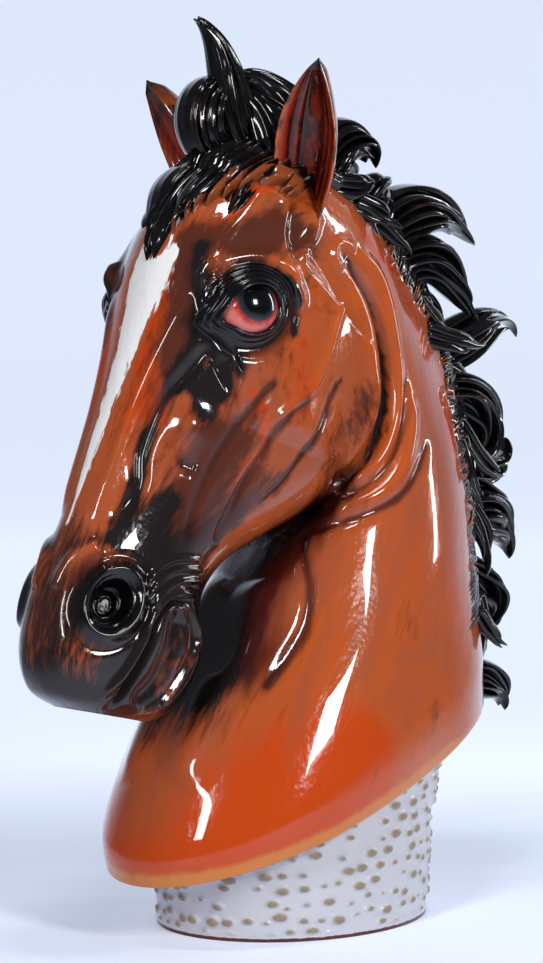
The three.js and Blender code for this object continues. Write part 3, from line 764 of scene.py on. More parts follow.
def skin_colour(start):
    """Orange brown glaze that ran down the head and neck in streaks: darker where it pooled, brighter
    where it is thin, black on the muzzle and round the eyes, black as painted shade under the jaw and
    down the throat, with the white blaze let in down the forehead and a pale band along the rim."""
    streaks = start.noise(0.018, 4.0, (1.0, 1.0, 7.0), 0.5, flow=True)
    broad = start.noise(0.05, 3.0, (1.0, 1.0, 3.0), 0.6, flow=True)
    fine = start.noise(0.004, 3.0, (1.0, 1.0, 5.0), 0.3, flow=True)
    carving = start.attribute("relief")
    tone = (broad * 0.6 + streaks * 0.4 + fine * 0.22 + carving * 0.05).ramp(0.50, 0.74)
    colour = tone.mix(TERRACOTTA, ORANGE)
    thin = (start.attribute("orange") + streaks.swing(0.8) + broad.swing(0.6)).ramp(0.35, 0.95)
    colour = thin.mix(colour, BRIGHT_ORANGE)
    dark = start.attribute("brown") + streaks.swing(1.3) + broad.swing(0.8) + fine.swing(1.2)
    colour = (dark - carving * 0.25).ramp(0.20, 1.0).mix(colour, BROWN)
    groove = (-carving + streaks.swing(1.0)).ramp(0.20, 0.95)
    colour = (groove * 0.85).mix(colour, GROOVE_BROWN)
    red = (start.attribute("red") + broad.swing(1.4) + streaks.swing(0.8)).ramp(0.30, 0.75)
    colour = red.mix(colour, DARK_RED)
    pale = (start.attribute("pale") + fine.swing(0.5) + streaks.swing(0.3)).ramp(0.35, 0.95)
    colour = pale.mix(colour, TAN)
    # Black glaze on the muzzle and round the eyes; under the jaw and down the throat this black is
    # painted shade.
    black = start.attribute("black") + streaks.swing(1.1) + fine.swing(1.1) - carving * 0.15
    colour = black.ramp(0.25, 1.0).mix(colour, SOFT_BLACK)
    lids = (start.attribute("lid_edge") + broad.swing(10.0) + fine.swing(10.0)).ramp(34.0, 14.0)
    colour = lids.mix(colour, BLACK)
    nostril = (start.attribute("nostril") + streaks.swing(1.0)).ramp(2.1, 1.3)
    colour = nostril.mix(colour, BLACK)
    blaze_in = (start.attribute("blaze") + fine.swing(12.0)).ramp(-0.8, 0.8)
    return blaze_in.mix(colour, WHITE)


def skin_bump(start):
    """The faint unevenness of a thick glaze, drawn out the way it ran."""
    return start.noise(0.014, 2.0, (1.0, 1.0, 2.5), flow=True) * 0.8 + start.noise(0.004, 1.0) * 0.12


def skin_coat(start):
    """The gloss is gone at the bottom of the nostrils."""
    return start.attribute("nostril").ramp(0.30, 0.62)


def stand_colour(start):
    """White glaze that thins to beige in the pits, with a brown line along the foot."""
    pit = (start.attribute("pit") + start.noise(0.004, 3.0).swing(0.5)).ramp(0.30, 0.95)
    colour = pit.mix(STAND_WHITE, BEIGE)
    browned = (start.attribute("browned") + start.noise(0.006, 4.0).swing(0.7)).ramp(0.5, 0.8)
    return browned.mix(colour, BROWN)


def hair_colour(start):
    """Black glaze, brown in clouds and as a painted sheen on the crowns of the strands, worn to orange
    brown at the hairline.
    """
    strand_crown = start.attribute("strand")
    clouds = start.noise(0.04, 3.0, warp=0.5)
    fine = start.noise(0.005, 3.0)
    # Brown at random in clouds, and a painted sheen on the strands' crowns.
    crown = (strand_crown * 0.5 + clouds.swing(1.6) + fine.swing(0.6)).ramp(0.45, 0.95)
    colour = crown.mix(BLACK, HAIR_BROWN_AND_SHEEN)
    browned = (start.attribute("edge") + (strand_crown - 0.6) * 1.1 + clouds.swing(1.2) + fine.swing(0.5))
    return browned.ramp(0.60, 1.15).mix(colour, HAIR_BROWN)


def eye_colour(start):
    """A black pupil in a dark slate iris; the white is salmon pink, deep red next to the iris."""
    gaze = start.attribute("gaze")
    clouds = start.noise(0.005, 3.0)
    sclera = (gaze + clouds.swing(16.0)).ramp(40.0, 54.0).mix(EYE_RED, EYE_PINK)
    iris = gaze.ramp(27.0, 38.0).mix(IRIS_INNER, IRIS_OUTER)
    colour = gaze.ramp(37.5, 39.5).mix(iris, sclera)
    return gaze.ramp(27.5, 26.5).mix(colour, PUPIL)


# Locks of hair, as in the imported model: root x, y, z; heading in degrees from straight back towards
# up; how far it turns and how late; how far it turns again near the tip; length; half width in the
# lock's own bend; half thickness across it; and the drift along X.
MANE_LOCKS = np.array([
    (16, 20, 812, 86, -165, 1.4, 0, 134, 32, 30, 14),
    (-20, 44, 798, 70, -110, 1.2, 0, 118, 30, 30, -18),
    (8, 86, 773, 66, -50, 1, 0, 92, 30, 34, 0),
    (10, 108, 752, 58, -105, 0.9, 0, 202, 32, 30, 8),
    (-22, 124, 728, 40, -80, 0.9, 0, 168, 30, 28, -22),
    (22, 136, 726, 50, -140, 0.8, 40, 170, 28, 26, 14),
    (-4, 156, 690, 20, -104, 0.6, 0, 132, 32, 34, -4),
    (4, 192, 626, 8, 42, 1, -130, 200, 30, 26, 4),
    (-20, 190, 640, -10, -60, 1, 0, 126, 26, 28, -30),
    (12, 208, 584, 14, -160, 1.4, -70, 176, 26, 30, 10),
    (-18, 218, 552, -8, -80, 1, 0, 126, 27, 28, -24),
    (4, 241, 505, -12, 42, 2, 100, 142, 24, 28, 4),
    (4, 244, 480, -8, -18, 1, 0, 128, 22, 28, -6),
    (6, 249, 438, 10, -80, 1.6, -40, 142, 34, 32, 0),
    (-14, 256, 400, -20, -60, 1.6, -60, 106, 26, 28, -24),
    (4, 265, 376, -24, -40, 1.6, -60, 109, 27, 28, 4),
    (-4, 271, 304, -24, -50, 1.5, 0, 74, 22, 28, -8),
    (4, 278, 250, -12, -40, 1.8, -50, 98, 22, 24, 0),
], float)
FORELOCKS = np.array([
    (8, -36, 836, 128, -10, 1, 0, 106, 42, 44, -4),
    (12, -62, 840, 136, -50, 0.7, 84, 178, 22, 20, -12),
    (34, -14, 844, 108, 66, 1.5, 0, 130, 32, 20, -18),
    (-2, -105, 846, 176, -210, 0.9, 0, 146, 22, 28, -6),
    (20, -85, 836, 190, 34, 1, 0, 130, 15, 26, 8),
    (42, -85, 824, 194, 52, 1, 0, 112, 14, 22, 14),
    (-6, -97, 836, 188, 50, 1, 0, 140, 15, 26, -4),
    (-34, -85, 828, 190, 52, 1, 0, 122, 14, 24, -12),
], float)
LOCK_ROOT_SHARE = 0.75
LOCK_SWELL_RATE = 1.6
TIP_LATE = 5
PATH_STEPS = 240
STRAND_RIB_DEPTH = 0.13
STRAND_TIP_SHARE = 0.04
STRAND_TAPER = 0.7
STRAND_LATEST_END = 0.97
STRAND_CLOSES = (0.3, 1.0)      # from where to where along a lock its strands close in
STRAND_SWAY = (0.11, 1.3)       # how far it sways, in half widths of the lock, and how often
STRAND_BULGE = 0.85             # how round the lock is across its strands
STRAND_WIDTH = 1.45             # overlaps its neighbours by that much
STRAND_THICKNESS = 0.9
STRAND_WIDTHS = (0.8, 1.2)
STRAND_THICKNESSES = (0.85, 1.1)
STRAND_TWIST = 1.2
STRAND_SIDEWAYS = 0.3

# How a lock is made: strands, rows and columns of each, ribs to half a turn, the share of the
# lock's length at which the first strand may end, how late the strands grow thin, and how far they
# close in towards the tip
MANE_MAKE = (6, 34, 16, 2, 0.78, 3.2, 0.62)
FORELOCK_MAKE = (6, 32, 28, 4.5, 0.95, 4.5, 0.82)
WISP_MAKE = (3, 22, 10, 2, 0.70, 2.8, 0.55)

# The wisps over the crest: how many, their seed, the sections and degrees that they grow between,
# and the ranges of a wisp's shape, as in the table of locks; the drift is a share of the root's x
MANE_WISPS = 46
WISP_SEED = 31
WISP_SECTIONS = (4.0, 13.2)
WISP_DEGREES = (-34, 38)
WISP_SCATTER = 0.12
WISP_FALL = (40, 95)
WISP_TURN = (-60, 40)
WISP_TURN_LATE = 1.2
WISP_TIP = (-40, 40)
WISP_LENGTH = (50, 100)
WISP_WIDTH = (9, 14)
WISP_THICKNESS = (8, 12)
WISP_DRIFT = (0.1, 0.5)


def lock_path(row):
    """A lock's middle line and headings: heading = start + turn * t^late + tip * t^5, t from 0 to 1."""
    root, (heading, turn, late, tip, length, _, _, lean) = row[:3], row[3:]
    t = np.linspace(0, 1, PATH_STEPS)
    angle = np.radians(heading + turn * t**late + tip * t**TIP_LATE)
    moves = np.stack([np.full(len(t), lean), length * np.cos(angle), length * np.sin(angle)], axis=1)
    path = root + np.concatenate([np.zeros((1, 3)), np.cumsum(moves[:-1] / (len(t) - 1), axis=0)])
    return t, path, angle


def strand(row, rng, index, strands, rows, columns, ribs, soonest, point, converge):
    """One strand of a lock: a ribbed rope beside the lock's middle line. It sets out at its own place
    across the lock, closes in towards the tip, sways, and ends a little sooner or later than the
    others, as size = root swell * (1 - s^point)^0.7 along its own share s."""
    t, path, angle = lock_path(row)
    width, thick = row[8:10]
    end = 1.0 if index == strands // 2 else rng.uniform(soonest, STRAND_LATEST_END)
    s = np.linspace(0, 1, rows)
    at = s * end
    middle = np.stack([np.interp(at, t, path[:, k]) for k in range(3)], axis=1)
    heading = np.interp(at, t, angle)
    across = np.stack([0 * heading, -np.sin(heading), np.cos(heading)], axis=1)
    rise = np.sin(math.pi / 2 * np.minimum(at * LOCK_SWELL_RATE, 1))
    swell = LOCK_ROOT_SHARE + (1 - LOCK_ROOT_SHARE) * rise
    size = swell * np.maximum(np.clip(1 - s**point, 0, 1) ** STRAND_TAPER, STRAND_TIP_SHARE)
    spread = (2 * index - strands + 1) / strands
    close = 1 - converge * smooth(*STRAND_CLOSES, at)
    sway = STRAND_SWAY[0] * np.sin(FULL_TURN * (STRAND_SWAY[1] * s + rng.random()))
    bulge = math.sqrt(1 - (STRAND_BULGE * spread) ** 2)
    centre = middle + ((spread * close + sway * s) * width)[:, None] * across
    sideways = rng.uniform(-STRAND_SIDEWAYS, STRAND_SIDEWAYS) * np.sin(math.pi * s)
    centre[:, 0] += sideways * thick + sway * thick * s
    half_wide = STRAND_WIDTH * width / strands * rng.uniform(*STRAND_WIDTHS)
    half_thick = STRAND_THICKNESS * thick * bulge * rng.uniform(*STRAND_THICKNESSES)
    round_ = turns(columns)
    twist = rng.uniform(-STRAND_TWIST, STRAND_TWIST)
    rib = np.abs(np.cos((round_[None] + twist * s[:, None]) * ribs))
    height = 1 + STRAND_RIB_DEPTH * (2 * rib - 1)
    wide = (size[:, None] * height * half_wide * np.cos(round_))[..., None] * across[:, None]
    thick_way = (size[:, None] * height * half_thick * np.sin(round_))[..., None] * np.array([-1, 0, 0])
    points = centre[:, None] + wide + thick_way
    return points, {"strand": rib, "edge": np.zeros(rib.shape)}


def add_lock(context, name, row, seed, make):
    """A lock as one piece: its strands joined into one mesh."""
    rng = np.random.default_rng(seed)
    grids = [strand(row, rng, index, *make) for index in range(make[0])]
    finish_piece(context, surface(name, grids, caps=CLOSED), "hair")


def wisps():
    """Small locks scattered over the crest between two places and two angles. Each sets out from the
    skin, leans over from the way out of it by its fall, and turns a little on the way."""
    rng = np.random.default_rng(WISP_SEED)
    scatter = rng.uniform(-WISP_SCATTER, WISP_SCATTER, MANE_WISPS)
    place = np.linspace(*WISP_SECTIONS, MANE_WISPS) + scatter
    angle = np.radians(rng.uniform(*WISP_DEGREES, MANE_WISPS))
    roots, normal = body_points(place, angle), body_normals(place, angle)
    outward = np.degrees(np.arctan2(normal[:, 2], normal[:, 1]))
    grids = []
    for root, out in zip(roots, outward):
        length = rng.uniform(*WISP_LENGTH)
        heading, turn = out - rng.uniform(*WISP_FALL), rng.uniform(*WISP_TURN)
        tip, width, thick = (rng.uniform(*span) for span in (WISP_TIP, WISP_WIDTH, WISP_THICKNESS))
        drift = rng.uniform(*WISP_DRIFT) * root[0]
        row = np.array([*root, heading, turn, WISP_TURN_LATE, tip, length, width, thick, drift])
        grids += [strand(row, rng, index, *WISP_MAKE) for index in range(WISP_MAKE[0])]
    return grids


# The mane's bed: hair combed back from a wavy hairline on either side of the crest
HAIRLINE = np.array([
    (3.8, 44.0), (4.65, 46.0), (5.9, 46.0), (6.6, 42.0), (7.35, 37.0), (8.2, 35.0), (9.4, 40.0),
    (10.35, 39.0), (11.9, 42.0), (12.6, 34.0), (13.6, 24.0),
])
BED_STRANDS_PER_SECTION = 11.0
BED_DEPTH = 2.3
BED_LIFT = 2.9
BED_RIM = 0.30
BED_ENDS = 0.25
SHEET_SINK = 3


def hair_sheet(place, angle, lift, inside, ridge, edge):
    """Hair that lies on the head: the carved skin at a grid of places and angles, moved outwards by
    lift inside the sheet, and sunk by SHEET_SINK at its rim."""
    flat_place, flat_angle = place.ravel(), angle.ravel()
    point, normal = body_points(flat_place, flat_angle), body_normals(flat_place, flat_angle)
    raised = lift * inside - SHEET_SINK * (1 - inside)
    points = point + normal * (carved(point) + raised.ravel())[:, None]
    return points.reshape(*place.shape, 3), {"strand": ridge, "edge": edge}


def mane_bed(rows=560, columns=76):
    """Hair over the crest: the carved skin lifted a little, with strand ridges that run from a wavy
    hairline back to the crest. Their phase counts strands along the neck and swings with the angle,
    and the hairline goes in and out with the same phase, so that every strand ends in a point."""
    places = np.linspace(HAIRLINE[0, 0], HAIRLINE[-1, 0], rows)
    half = np.interp(places, HAIRLINE[:, 0], HAIRLINE[:, 1])
    share = np.linspace(-1, 1, columns)
    place, along = np.meshgrid(places, share, indexing="ij")
    swing = 2.6 * (1 - np.abs(along)) + 0.5 * np.sin(5 * along + 2.1 * place) * (1 - along**2)
    uneven = 0.13 * np.sin(3.7 * place) + 0.07 * np.sin(9.1 * place + 1.0) \
        + 0.03 * np.sin(23 * place + 4 * along)
    phase = ((place + uneven) * FULL_TURN + swing) * BED_STRANDS_PER_SECTION
    ridge = np.abs(np.sin(phase / 2)) ** 0.8 * (0.75 + 0.25 * np.sin(phase / 5))
    reach = half[:, None] * (1.08 + 0.10 * (ridge - 0.5) + 0.10 * np.sin(1.9 * place + 0.7))
    angle = np.radians(reach * along)
    rim = smooth(0, BED_RIM, 1 - np.abs(along))
    ends = smooth(0, BED_ENDS, np.minimum(place - places[0], places[-1] - place))
    lift = BED_LIFT + BED_DEPTH * (2 * ridge - 1)
    edge = (1 - smooth(0.1, 0.8, 1 - np.abs(along))) * (0.85 + 0.25 * np.sin(2.3 * place + 0.5))
    return hair_sheet(place, angle, lift, rim * ends, ridge, edge)


# The fringe combed over the forehead: degrees round the body and the place where it ends
FRINGE = np.array([
    (-46, 13.9), (-32, 14.7), (-12, 15.8), (-4, 16.6), (1, 17.2), (6, 17.0), (12, 16.5), (20, 15.95),
    (26, 15.4), (32, 14.9), (46, 14.2),
])
FRINGE_START = 12.7
FRINGE_STRAND_DEGREES = 4.0
FRINGE_POINTS = 0.36
FRINGE_LIFT = 7.5
FRINGE_DEPTH = 4.2
FRINGE_RIM = 0.08
FRINGE_SIDES = 4
FRINGE_DRIFT = (0.25, 0.45)     # how far, in strands, the spacing wanders, and how fast


def fringe(rows=70, columns=220):
    """The fringe: strands that run down from the poll, each in waves, over the carved skin. A phase
    counts them round the forehead, and each reaches furthest along its crown, so it ends in a point."""
    round_ = np.linspace(FRINGE[0, 0], FRINGE[-1, 0], columns)
    down, across = np.meshgrid(np.linspace(0, 1, rows), round_, indexing="ij")
    wave = 0.30 * np.sin(8 * down + 0.11 * across) + 0.16 * np.sin(15 * down - 0.23 * across)
    phase = across / FRINGE_STRAND_DEGREES + FRINGE_DRIFT[0] * np.sin(FRINGE_DRIFT[1] * across)
    ridge = np.abs(np.sin(math.pi * (phase + wave))) ** 0.75
    border = np.interp(across, FRINGE[:, 0], FRINGE[:, 1])
    tooth = np.abs(np.sin(math.pi * phase))
    end = border + FRINGE_POINTS * (tooth - 0.6) + 0.12 * np.sin(0.31 * across)
    place = FRINGE_START + (end - FRINGE_START) * down
    angle = np.radians(across * (0.8 + 0.2 * down) + 1.6 * np.sin(6 * down + 0.2 * across))
    from_side = np.minimum(across - FRINGE[0, 0], FRINGE[-1, 0] - across)
    inside = smooth(0, FRINGE_RIM, 1 - down) * smooth(0, FRINGE_SIDES, from_side)
    lift = FRINGE_LIFT + FRINGE_DEPTH * (2 * ridge - 1)
    edge = smooth(0.35, 1.0, down) * smooth(2, 26, across) * 0.72 + 0.15 * smooth(0.6, 1.0, down)
    return hair_sheet(place, angle, lift, inside, ridge, edge)


# The ears: a leaf bent into a cup, carried along a curved line
EAR_LINE = np.array([(65, -63, 759), (85, -71, 813), (113, -87, 884), (137, -97, 939)], float)
EAR_HALF_WIDTH = 35.0
EAR_THICK = 9.0
EAR_CUP = 1.05
EAR_STEM = 0.5
EAR_TURN_OUT = 24.0
EAR_FLUTES = 7
EAR_FLUTE_DEPTH = 1.3
EAR_BLUNT = 0.65
EAR_TIP_HALF = 1.2
EAR_POINT = 1.1


def ear(side, rows=80, columns=64):
    """An ear: crescent rings across a leaf, deepest along its middle, fluted inside. The channel
    inner is 1 on the hollow face and 0 on the back."""
    t = np.linspace(0, 1, rows)
    place = t * (len(EAR_LINE) - 1)
    centre = catmull(EAR_LINE, place)
    up = unit(np.gradient(centre, axis=0))
    across = unit(np.cross(direction_at(EAR_TURN_OUT, 0), up))
    front = np.cross(up, across)
    low = EAR_STEM + (1 - EAR_STEM) * np.sin(math.pi / 2 * np.clip(2 * t, 0, 1))
    high = np.cos(math.pi / 2 * np.clip(2 * t - 1, 0, 1)) ** EAR_POINT
    wide = np.maximum(EAR_HALF_WIDTH * np.where(t < 0.5, low, high), EAR_TIP_HALF)
    round_ = turns(columns)
    off, lift = (np.sign(wave) * np.abs(wave) ** EAR_BLUNT for wave in (np.cos(round_), np.sin(round_)))
    inner = smooth(0.0, 0.5, np.sin(round_))
    flutes = inner * np.cos(off * EAR_FLUTES * math.pi + 0.6) * smooth(0.05, 0.25, 1 - np.abs(off))
    rise = np.minimum(EAR_THICK, wide)[:, None] * lift
    fluting = EAR_FLUTE_DEPTH * flutes * smooth(0, 0.25, 1 - t)[:, None]
    depth = rise + fluting - EAR_CUP * wide[:, None] * (1 - off**2)
    points = centre[:, None] + (wide[:, None] * off)[..., None] * across[:, None] \
        + depth[..., None] * front[:, None]
    # hollow, deepest in the middle of the cup, and flute steer the painted shade inside the ear
    painted = {"inner": inner, "height": t[:, None], "flute": flutes, "hollow": inner * (1 - off**2),
               "rim": np.abs(off) ** 4}
    channels = {name: np.broadcast_to(value, (rows, columns)) for name, value in painted.items()}
    if side < 0:
        points = points[:, ::-1] * [-1, 1, 1]
        channels = {name: value[:, ::-1] for name, value in channels.items()}
    return points, channels


def ear_colour(start):
    """Brown outside, orange at the stem, deep red inside with painted shade in the hollow and in the
    flute grooves, almost black at the tip.
    """
    clouds = start.noise(0.02, 3.0, (1, 1, 2.5), 0.6)
    fine = start.noise(0.003, 2.0, (1, 1, 6.0))
    height = start.attribute("height")
    outside = (clouds + fine.swing(0.4)).ramp(0.35, 0.65).mix(BROWN, TERRACOTTA)
    # Painted shade: the inside darkens towards the middle of the hollow and in the grooves between the
    # flutes, over the glaze's cloudy tone.
    tone_and_shade = clouds * 0.8 + fine * 0.5 + start.attribute("flute") * 0.16 - start.attribute("hollow") * 0.25
    inside = tone_and_shade.ramp(0.30, 0.75).mix(EAR_DARK_AND_SHADE, EAR_RED)
    colour = start.attribute("inner").ramp(0.2, 0.8).mix(outside, inside)
    stem = (height + clouds.swing(0.4)).ramp(0.26, 0.10)
    colour = stem.mix(colour, ORANGE)
    rim = (start.attribute("rim") + clouds.swing(0.4)).ramp(0.55, 0.85)
    colour = rim.mix(colour, (clouds + fine.swing(0.5)).ramp(0.4, 0.6).mix(SOFT_BLACK, ORANGE))
    tip = (height + clouds.swing(0.3)).ramp(0.70, 1.02)
    return tip.mix(colour, SOFT_BLACK)


def eyeball(side, rows=48, columns=56):
    """An eyeball, turned so that its pole looks out between the lids. The channel gaze is the angle
    in degrees from the middle of the iris."""
    centre, look, across, rise = eye_frame(side)
    tilt = np.linspace(POLE_GAP, math.pi - POLE_GAP, rows)[:, None]
    round_ = turns(columns)[None]
    direction = np.cos(tilt)[..., None] * look + (np.sin(tilt) * np.cos(round_))[..., None] * across \
        + (np.sin(tilt) * np.sin(round_))[..., None] * rise
    if side < 0:
        direction = direction[:, ::-1]
    gaze = direction_at(GAZE_OUT, GAZE_UP) * [side, 1, 1]
    angle = np.degrees(np.arccos(np.clip(direction @ gaze, -1, 1)))
    return centre + EYE_RADIUS * direction, {"gaze": angle}


# The stand: foot, top and pits in millimetres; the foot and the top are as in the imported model
FOOT_WIDTH = 212.0
FOOT_DEPTH = 258.0
STAND_INSET = 17.0
STAND_SINK = 34.0
STAND_WAIST_POWER = 2.4
MM_PER_UNIT = UNIT * 1000
PIT_PITCH = (16.5, 12.5)
PIT_HALF = (6.0, 3.6)
PIT_DEPTH = 3.4
PIT_SEED = 7
PIT_GIRTH = 240 * math.pi       # the stand's mean girth
PIT_SHIFT = 0.28                # shares of the pitch, of the pit's size, and of all the cells
PIT_SIZES = (0.55, 1.25)
PIT_MISSING = 0.12
NO_PIT = 0.01
PIT_HEIGHTS = (4, 9)            # no pits below, and all of their depth above
FOOT_LINE_HEIGHT = 5.0


def stand_grid(rise, angle):
    """The stand's side in units: rise^waist power blends the foot's oval into the tilted oval that
    fills the rim."""
    rim = SECTIONS[RIM_SECTION]
    rim_back, rim_front, rim_half = rim[0:2], rim[2:4], rim[4]
    tilt = math.atan2(rim_back[1] - rim_front[1], rim_back[0] - rim_front[0])
    inset, sink = STAND_INSET / MM_PER_UNIT, STAND_SINK / MM_PER_UNIT
    shift = np.array([math.cos(tilt), math.sin(tilt)]) * inset
    lift = np.array([-math.sin(tilt), math.cos(tilt)]) * sink
    top_back, top_front = rim_back - shift + lift, rim_front + shift + lift
    foot = np.array([FOOT_DEPTH / 2, 0]) / MM_PER_UNIT
    flare = rise**STAND_WAIST_POWER
    back_y, back_z = foot[0] + (top_back[0] - foot[0]) * flare, top_back[1] * rise
    front_y, front_z = -foot[0] + (top_front[0] + foot[0]) * flare, top_front[1] * rise
    foot_half = FOOT_WIDTH / 2 / MM_PER_UNIT
    half = foot_half + (rim_half - inset - foot_half) * flare
    share = (1 - np.cos(angle)) / 2
    return np.stack([half * np.sin(angle), back_y + (front_y - back_y) * share,
                     back_z + (front_z - back_z) * share], axis=-1)


def stand(rows=130, columns=380):
    """The stand with its pits: one pit in every cell of a staggered grid round its side, each shifted,
    sized and left out at random, and sunk by depth * exp(-(elliptic distance)^4)."""
    rng = np.random.default_rng(PIT_SEED)
    rings, bearings = np.linspace(0, 1, rows) ** 1.1, -turns(columns)
    rise, angle = np.meshgrid(rings, bearings, indexing="ij")
    points = stand_grid(rise, angle)
    normal = grid_normals(points)
    height = points[..., 2] * MM_PER_UNIT
    cells_round = round(PIT_GIRTH / PIT_PITCH[0])
    u = (-angle / FULL_TURN) * cells_round
    v = height / PIT_PITCH[1]
    cells_up = int(v.max()) + 3
    shift = rng.uniform(-PIT_SHIFT, PIT_SHIFT, (cells_round, cells_up, 2))
    scale = rng.uniform(*PIT_SIZES, (cells_round, cells_up))
    scale[rng.random((cells_round, cells_up)) < PIT_MISSING] = NO_PIT
    pit = np.zeros(rise.shape)
    row_cell = np.floor(v).astype(int)
    for up in (-1, 0, 1):
        for over in (-1, 0, 1):
            j = np.clip(row_cell + up, 0, cells_up - 1)
            staggered = u + 0.5 * (j % 2)
            i = np.floor(staggered).astype(int) + over
            wrap = i % cells_round
            du = (staggered - (i + 0.5 + shift[wrap, j, 0])) * PIT_PITCH[0]
            dv = (v - (j + 0.5 + shift[wrap, j, 1])) * PIT_PITCH[1]
            s = scale[wrap, j]
            far = (du / (PIT_HALF[0] * s)) ** 2 + (dv / (PIT_HALF[1] * s)) ** 2
            pit = np.maximum(pit, np.exp(-(far**2)) * np.minimum(s + 0.2, 1))
    pit *= smooth(*PIT_HEIGHTS, height)
    sunk = points - normal * (pit * PIT_DEPTH / MM_PER_UNIT)[..., None]
    # A brown line in the lowest few millimetres, where the stand meets the floor.
    browned = 1 - smooth(0.3, 1.0, height / FOOT_LINE_HEIGHT)
    return sunk, {"pit": pit, "browned": browned}


# The skin's pieces: name, first and last place, rows. Rows past an open end steer its shading.
SKIN_PIECES = [("neck", 0.0, 11.5, 160), ("upper_face", 11.5, 19.2, 280), ("muzzle", 19.2, 27.0, 260)]
SKIN_COLUMNS = 300
SIDE_CROWDING = 0.11
SHADING_ROWS = 2


def skin_angles():
    """Angles round the body, crowded on the two sides of the head where the carving is."""
    even = turns(SKIN_COLUMNS)
    return even + SIDE_CROWDING * np.sin(2 * even)


class BustSettings(bpy.types.PropertyGroup):
    """Sizes and finishes that can be set before the pieces are built."""

    glaze_roughness: FloatProperty(
        name="Glaze roughness", description="Roughness of the dark glazes under their clear coat",
        default=0.16, min=0.0, max=1.0, subtype="FACTOR",
    )
    stand_roughness: FloatProperty(
        name="Stand roughness", description="Roughness of the white glaze on the stand",
        default=0.3, min=0.0, max=1.0, subtype="FACTOR",
    )
    glaze_ripple: FloatProperty(
        name="Glaze ripple", description="How deep the glaze's own unevenness is",
        default=0.0016, min=0.0, max=0.01, unit="LENGTH",
    )
    floor_colour: FloatVectorProperty(
        name="Floor colour", description="Colour of the plain pale floor",
        default=(0.72, 0.79, 0.94), size=3, min=0.0, max=1.0, subtype="COLOR",
    )


# Each material: its slot in the record, its colour, the setting of its roughness, its coat and bump
MATERIALS = {
    "skin": ("brown_glaze", skin_colour, "glaze_roughness", 1.0, skin_bump, skin_coat),
    "ear": ("brown_glaze", ear_colour, "glaze_roughness", 1.0, None, None),
    "hair": ("black_glaze", hair_colour, "glaze_roughness", 1.0, None, None),
    "stand": ("white_glaze", stand_colour, "stand_roughness", 0.5, None, None),
    "eye": ("eye_glaze", eye_colour, "glaze_roughness", 1.0, None, None),
}


def finish_piece(context, piece, finish):
    """Hand a finished piece to the frame: its material, its body, and the node it stands for."""
    slot, colour_of, roughness, coat, bump_of, coat_of = MATERIALS[finish]
    material = bpy.data.materials.get(finish)
    if not material:
        settings = context.scene.bust
        material = glaze_material(finish, colour_of, getattr(settings, roughness), coat, bump_of, coat_of,
                                  settings.glaze_ripple)
    piece.data.materials.append(material)
    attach(piece, BODY)
    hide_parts(NODE)


class HORSEHEAD_OT_skin(bpy.types.Operator):
    """Build the carved skin of the neck, the upper face and the muzzle"""

    bl_idname = "horsehead.skin"
    bl_label = "Build skin"

    def execute(self, context):
        angles = skin_angles()
        for name, first, last, rows in SKIN_PIECES:
            step = (last - first) / (rows - 1)
            at_start, at_end = first == 0, last == LAST_SECTION
            places = np.linspace(first, last, rows)
            before = np.zeros(0) if at_start else first - step * np.arange(SHADING_ROWS, 0, -1)
            after = np.zeros(0) if at_end else last + step * np.arange(1, SHADING_ROWS + 1)
            grid = skin(*np.meshgrid(np.concatenate([before, places, after]), angles, indexing="ij"))
            piece = surface(name, [grid], caps=(at_start, at_end), trim=(len(before), len(after)))
            finish_piece(context, piece, "skin")
        return {"FINISHED"}


class HORSEHEAD_OT_eyes(bpy.types.Operator):
    """Build the two eyeballs and the lids round them"""

    bl_idname = "horsehead.eyes"
    bl_label = "Build eyes"

    def execute(self, context):
        for name, side in SIDES:
            finish_piece(context, surface(f"{name}_eye", [eyeball(side)], caps=CLOSED), "eye")
        for name, side in SIDES:
            finish_piece(context, surface(f"{name}_lids", [eye_lids(side)]), "skin")
        return {"FINISHED"}


class HORSEHEAD_OT_ears(bpy.types.Operator):
    """Build the two ears"""

    bl_idname = "horsehead.ears"
    bl_label = "Build ears"

    def execute(self, context):
        for name, side in SIDES:
            finish_piece(context, surface(f"{name}_ear", [ear(side)], caps=CLOSED), "ear")
        return {"FINISHED"}


class HORSEHEAD_OT_mane(bpy.types.Operator):
    """Build the mane's bed along the crest and its locks"""

    bl_idname = "horsehead.mane"
    bl_label = "Build mane"

    def execute(self, context):
        finish_piece(context, surface("mane_bed", [mane_bed()], wrap=False), "hair")
        finish_piece(context, surface("mane_wisps", wisps(), caps=CLOSED), "hair")
        for number, row in enumerate(MANE_LOCKS):
            add_lock(context, f"mane_lock_{number + 1:02d}", row, number, MANE_MAKE)
        return {"FINISHED"}


class HORSEHEAD_OT_forelock(bpy.types.Operator):
    """Build the forelock that stands up between the ears"""

    bl_idname = "horsehead.forelock"
    bl_label = "Build forelock"

    def execute(self, context):
        for number, row in enumerate(FORELOCKS):
            add_lock(context, f"forelock_{number + 1:02d}", row, 100 + number, FORELOCK_MAKE)
        finish_piece(context, surface("fringe", [fringe()], wrap=False), "hair")
        return {"FINISHED"}


class HORSEHEAD_OT_stand(bpy.types.Operator):
    """Build the pitted stand"""

    bl_idname = "horsehead.stand"
    bl_label = "Build stand"

    def execute(self, context):
        finish_piece(context, surface("stand", [stand()], caps=CLOSED), "stand")
        return {"FINISHED"}


# The photographed view: bearing from straight ahead round to the horse's left, metres and degrees
CAMERA_BEARING = 46.0
CAMERA_DISTANCE = 2.2242
CAMERA_HEIGHT = 0.4666
CAMERA_AIM_HEIGHT = 0.3806
CAMERA_SIDE = -0.0188
CAMERA_LENS = 95.08

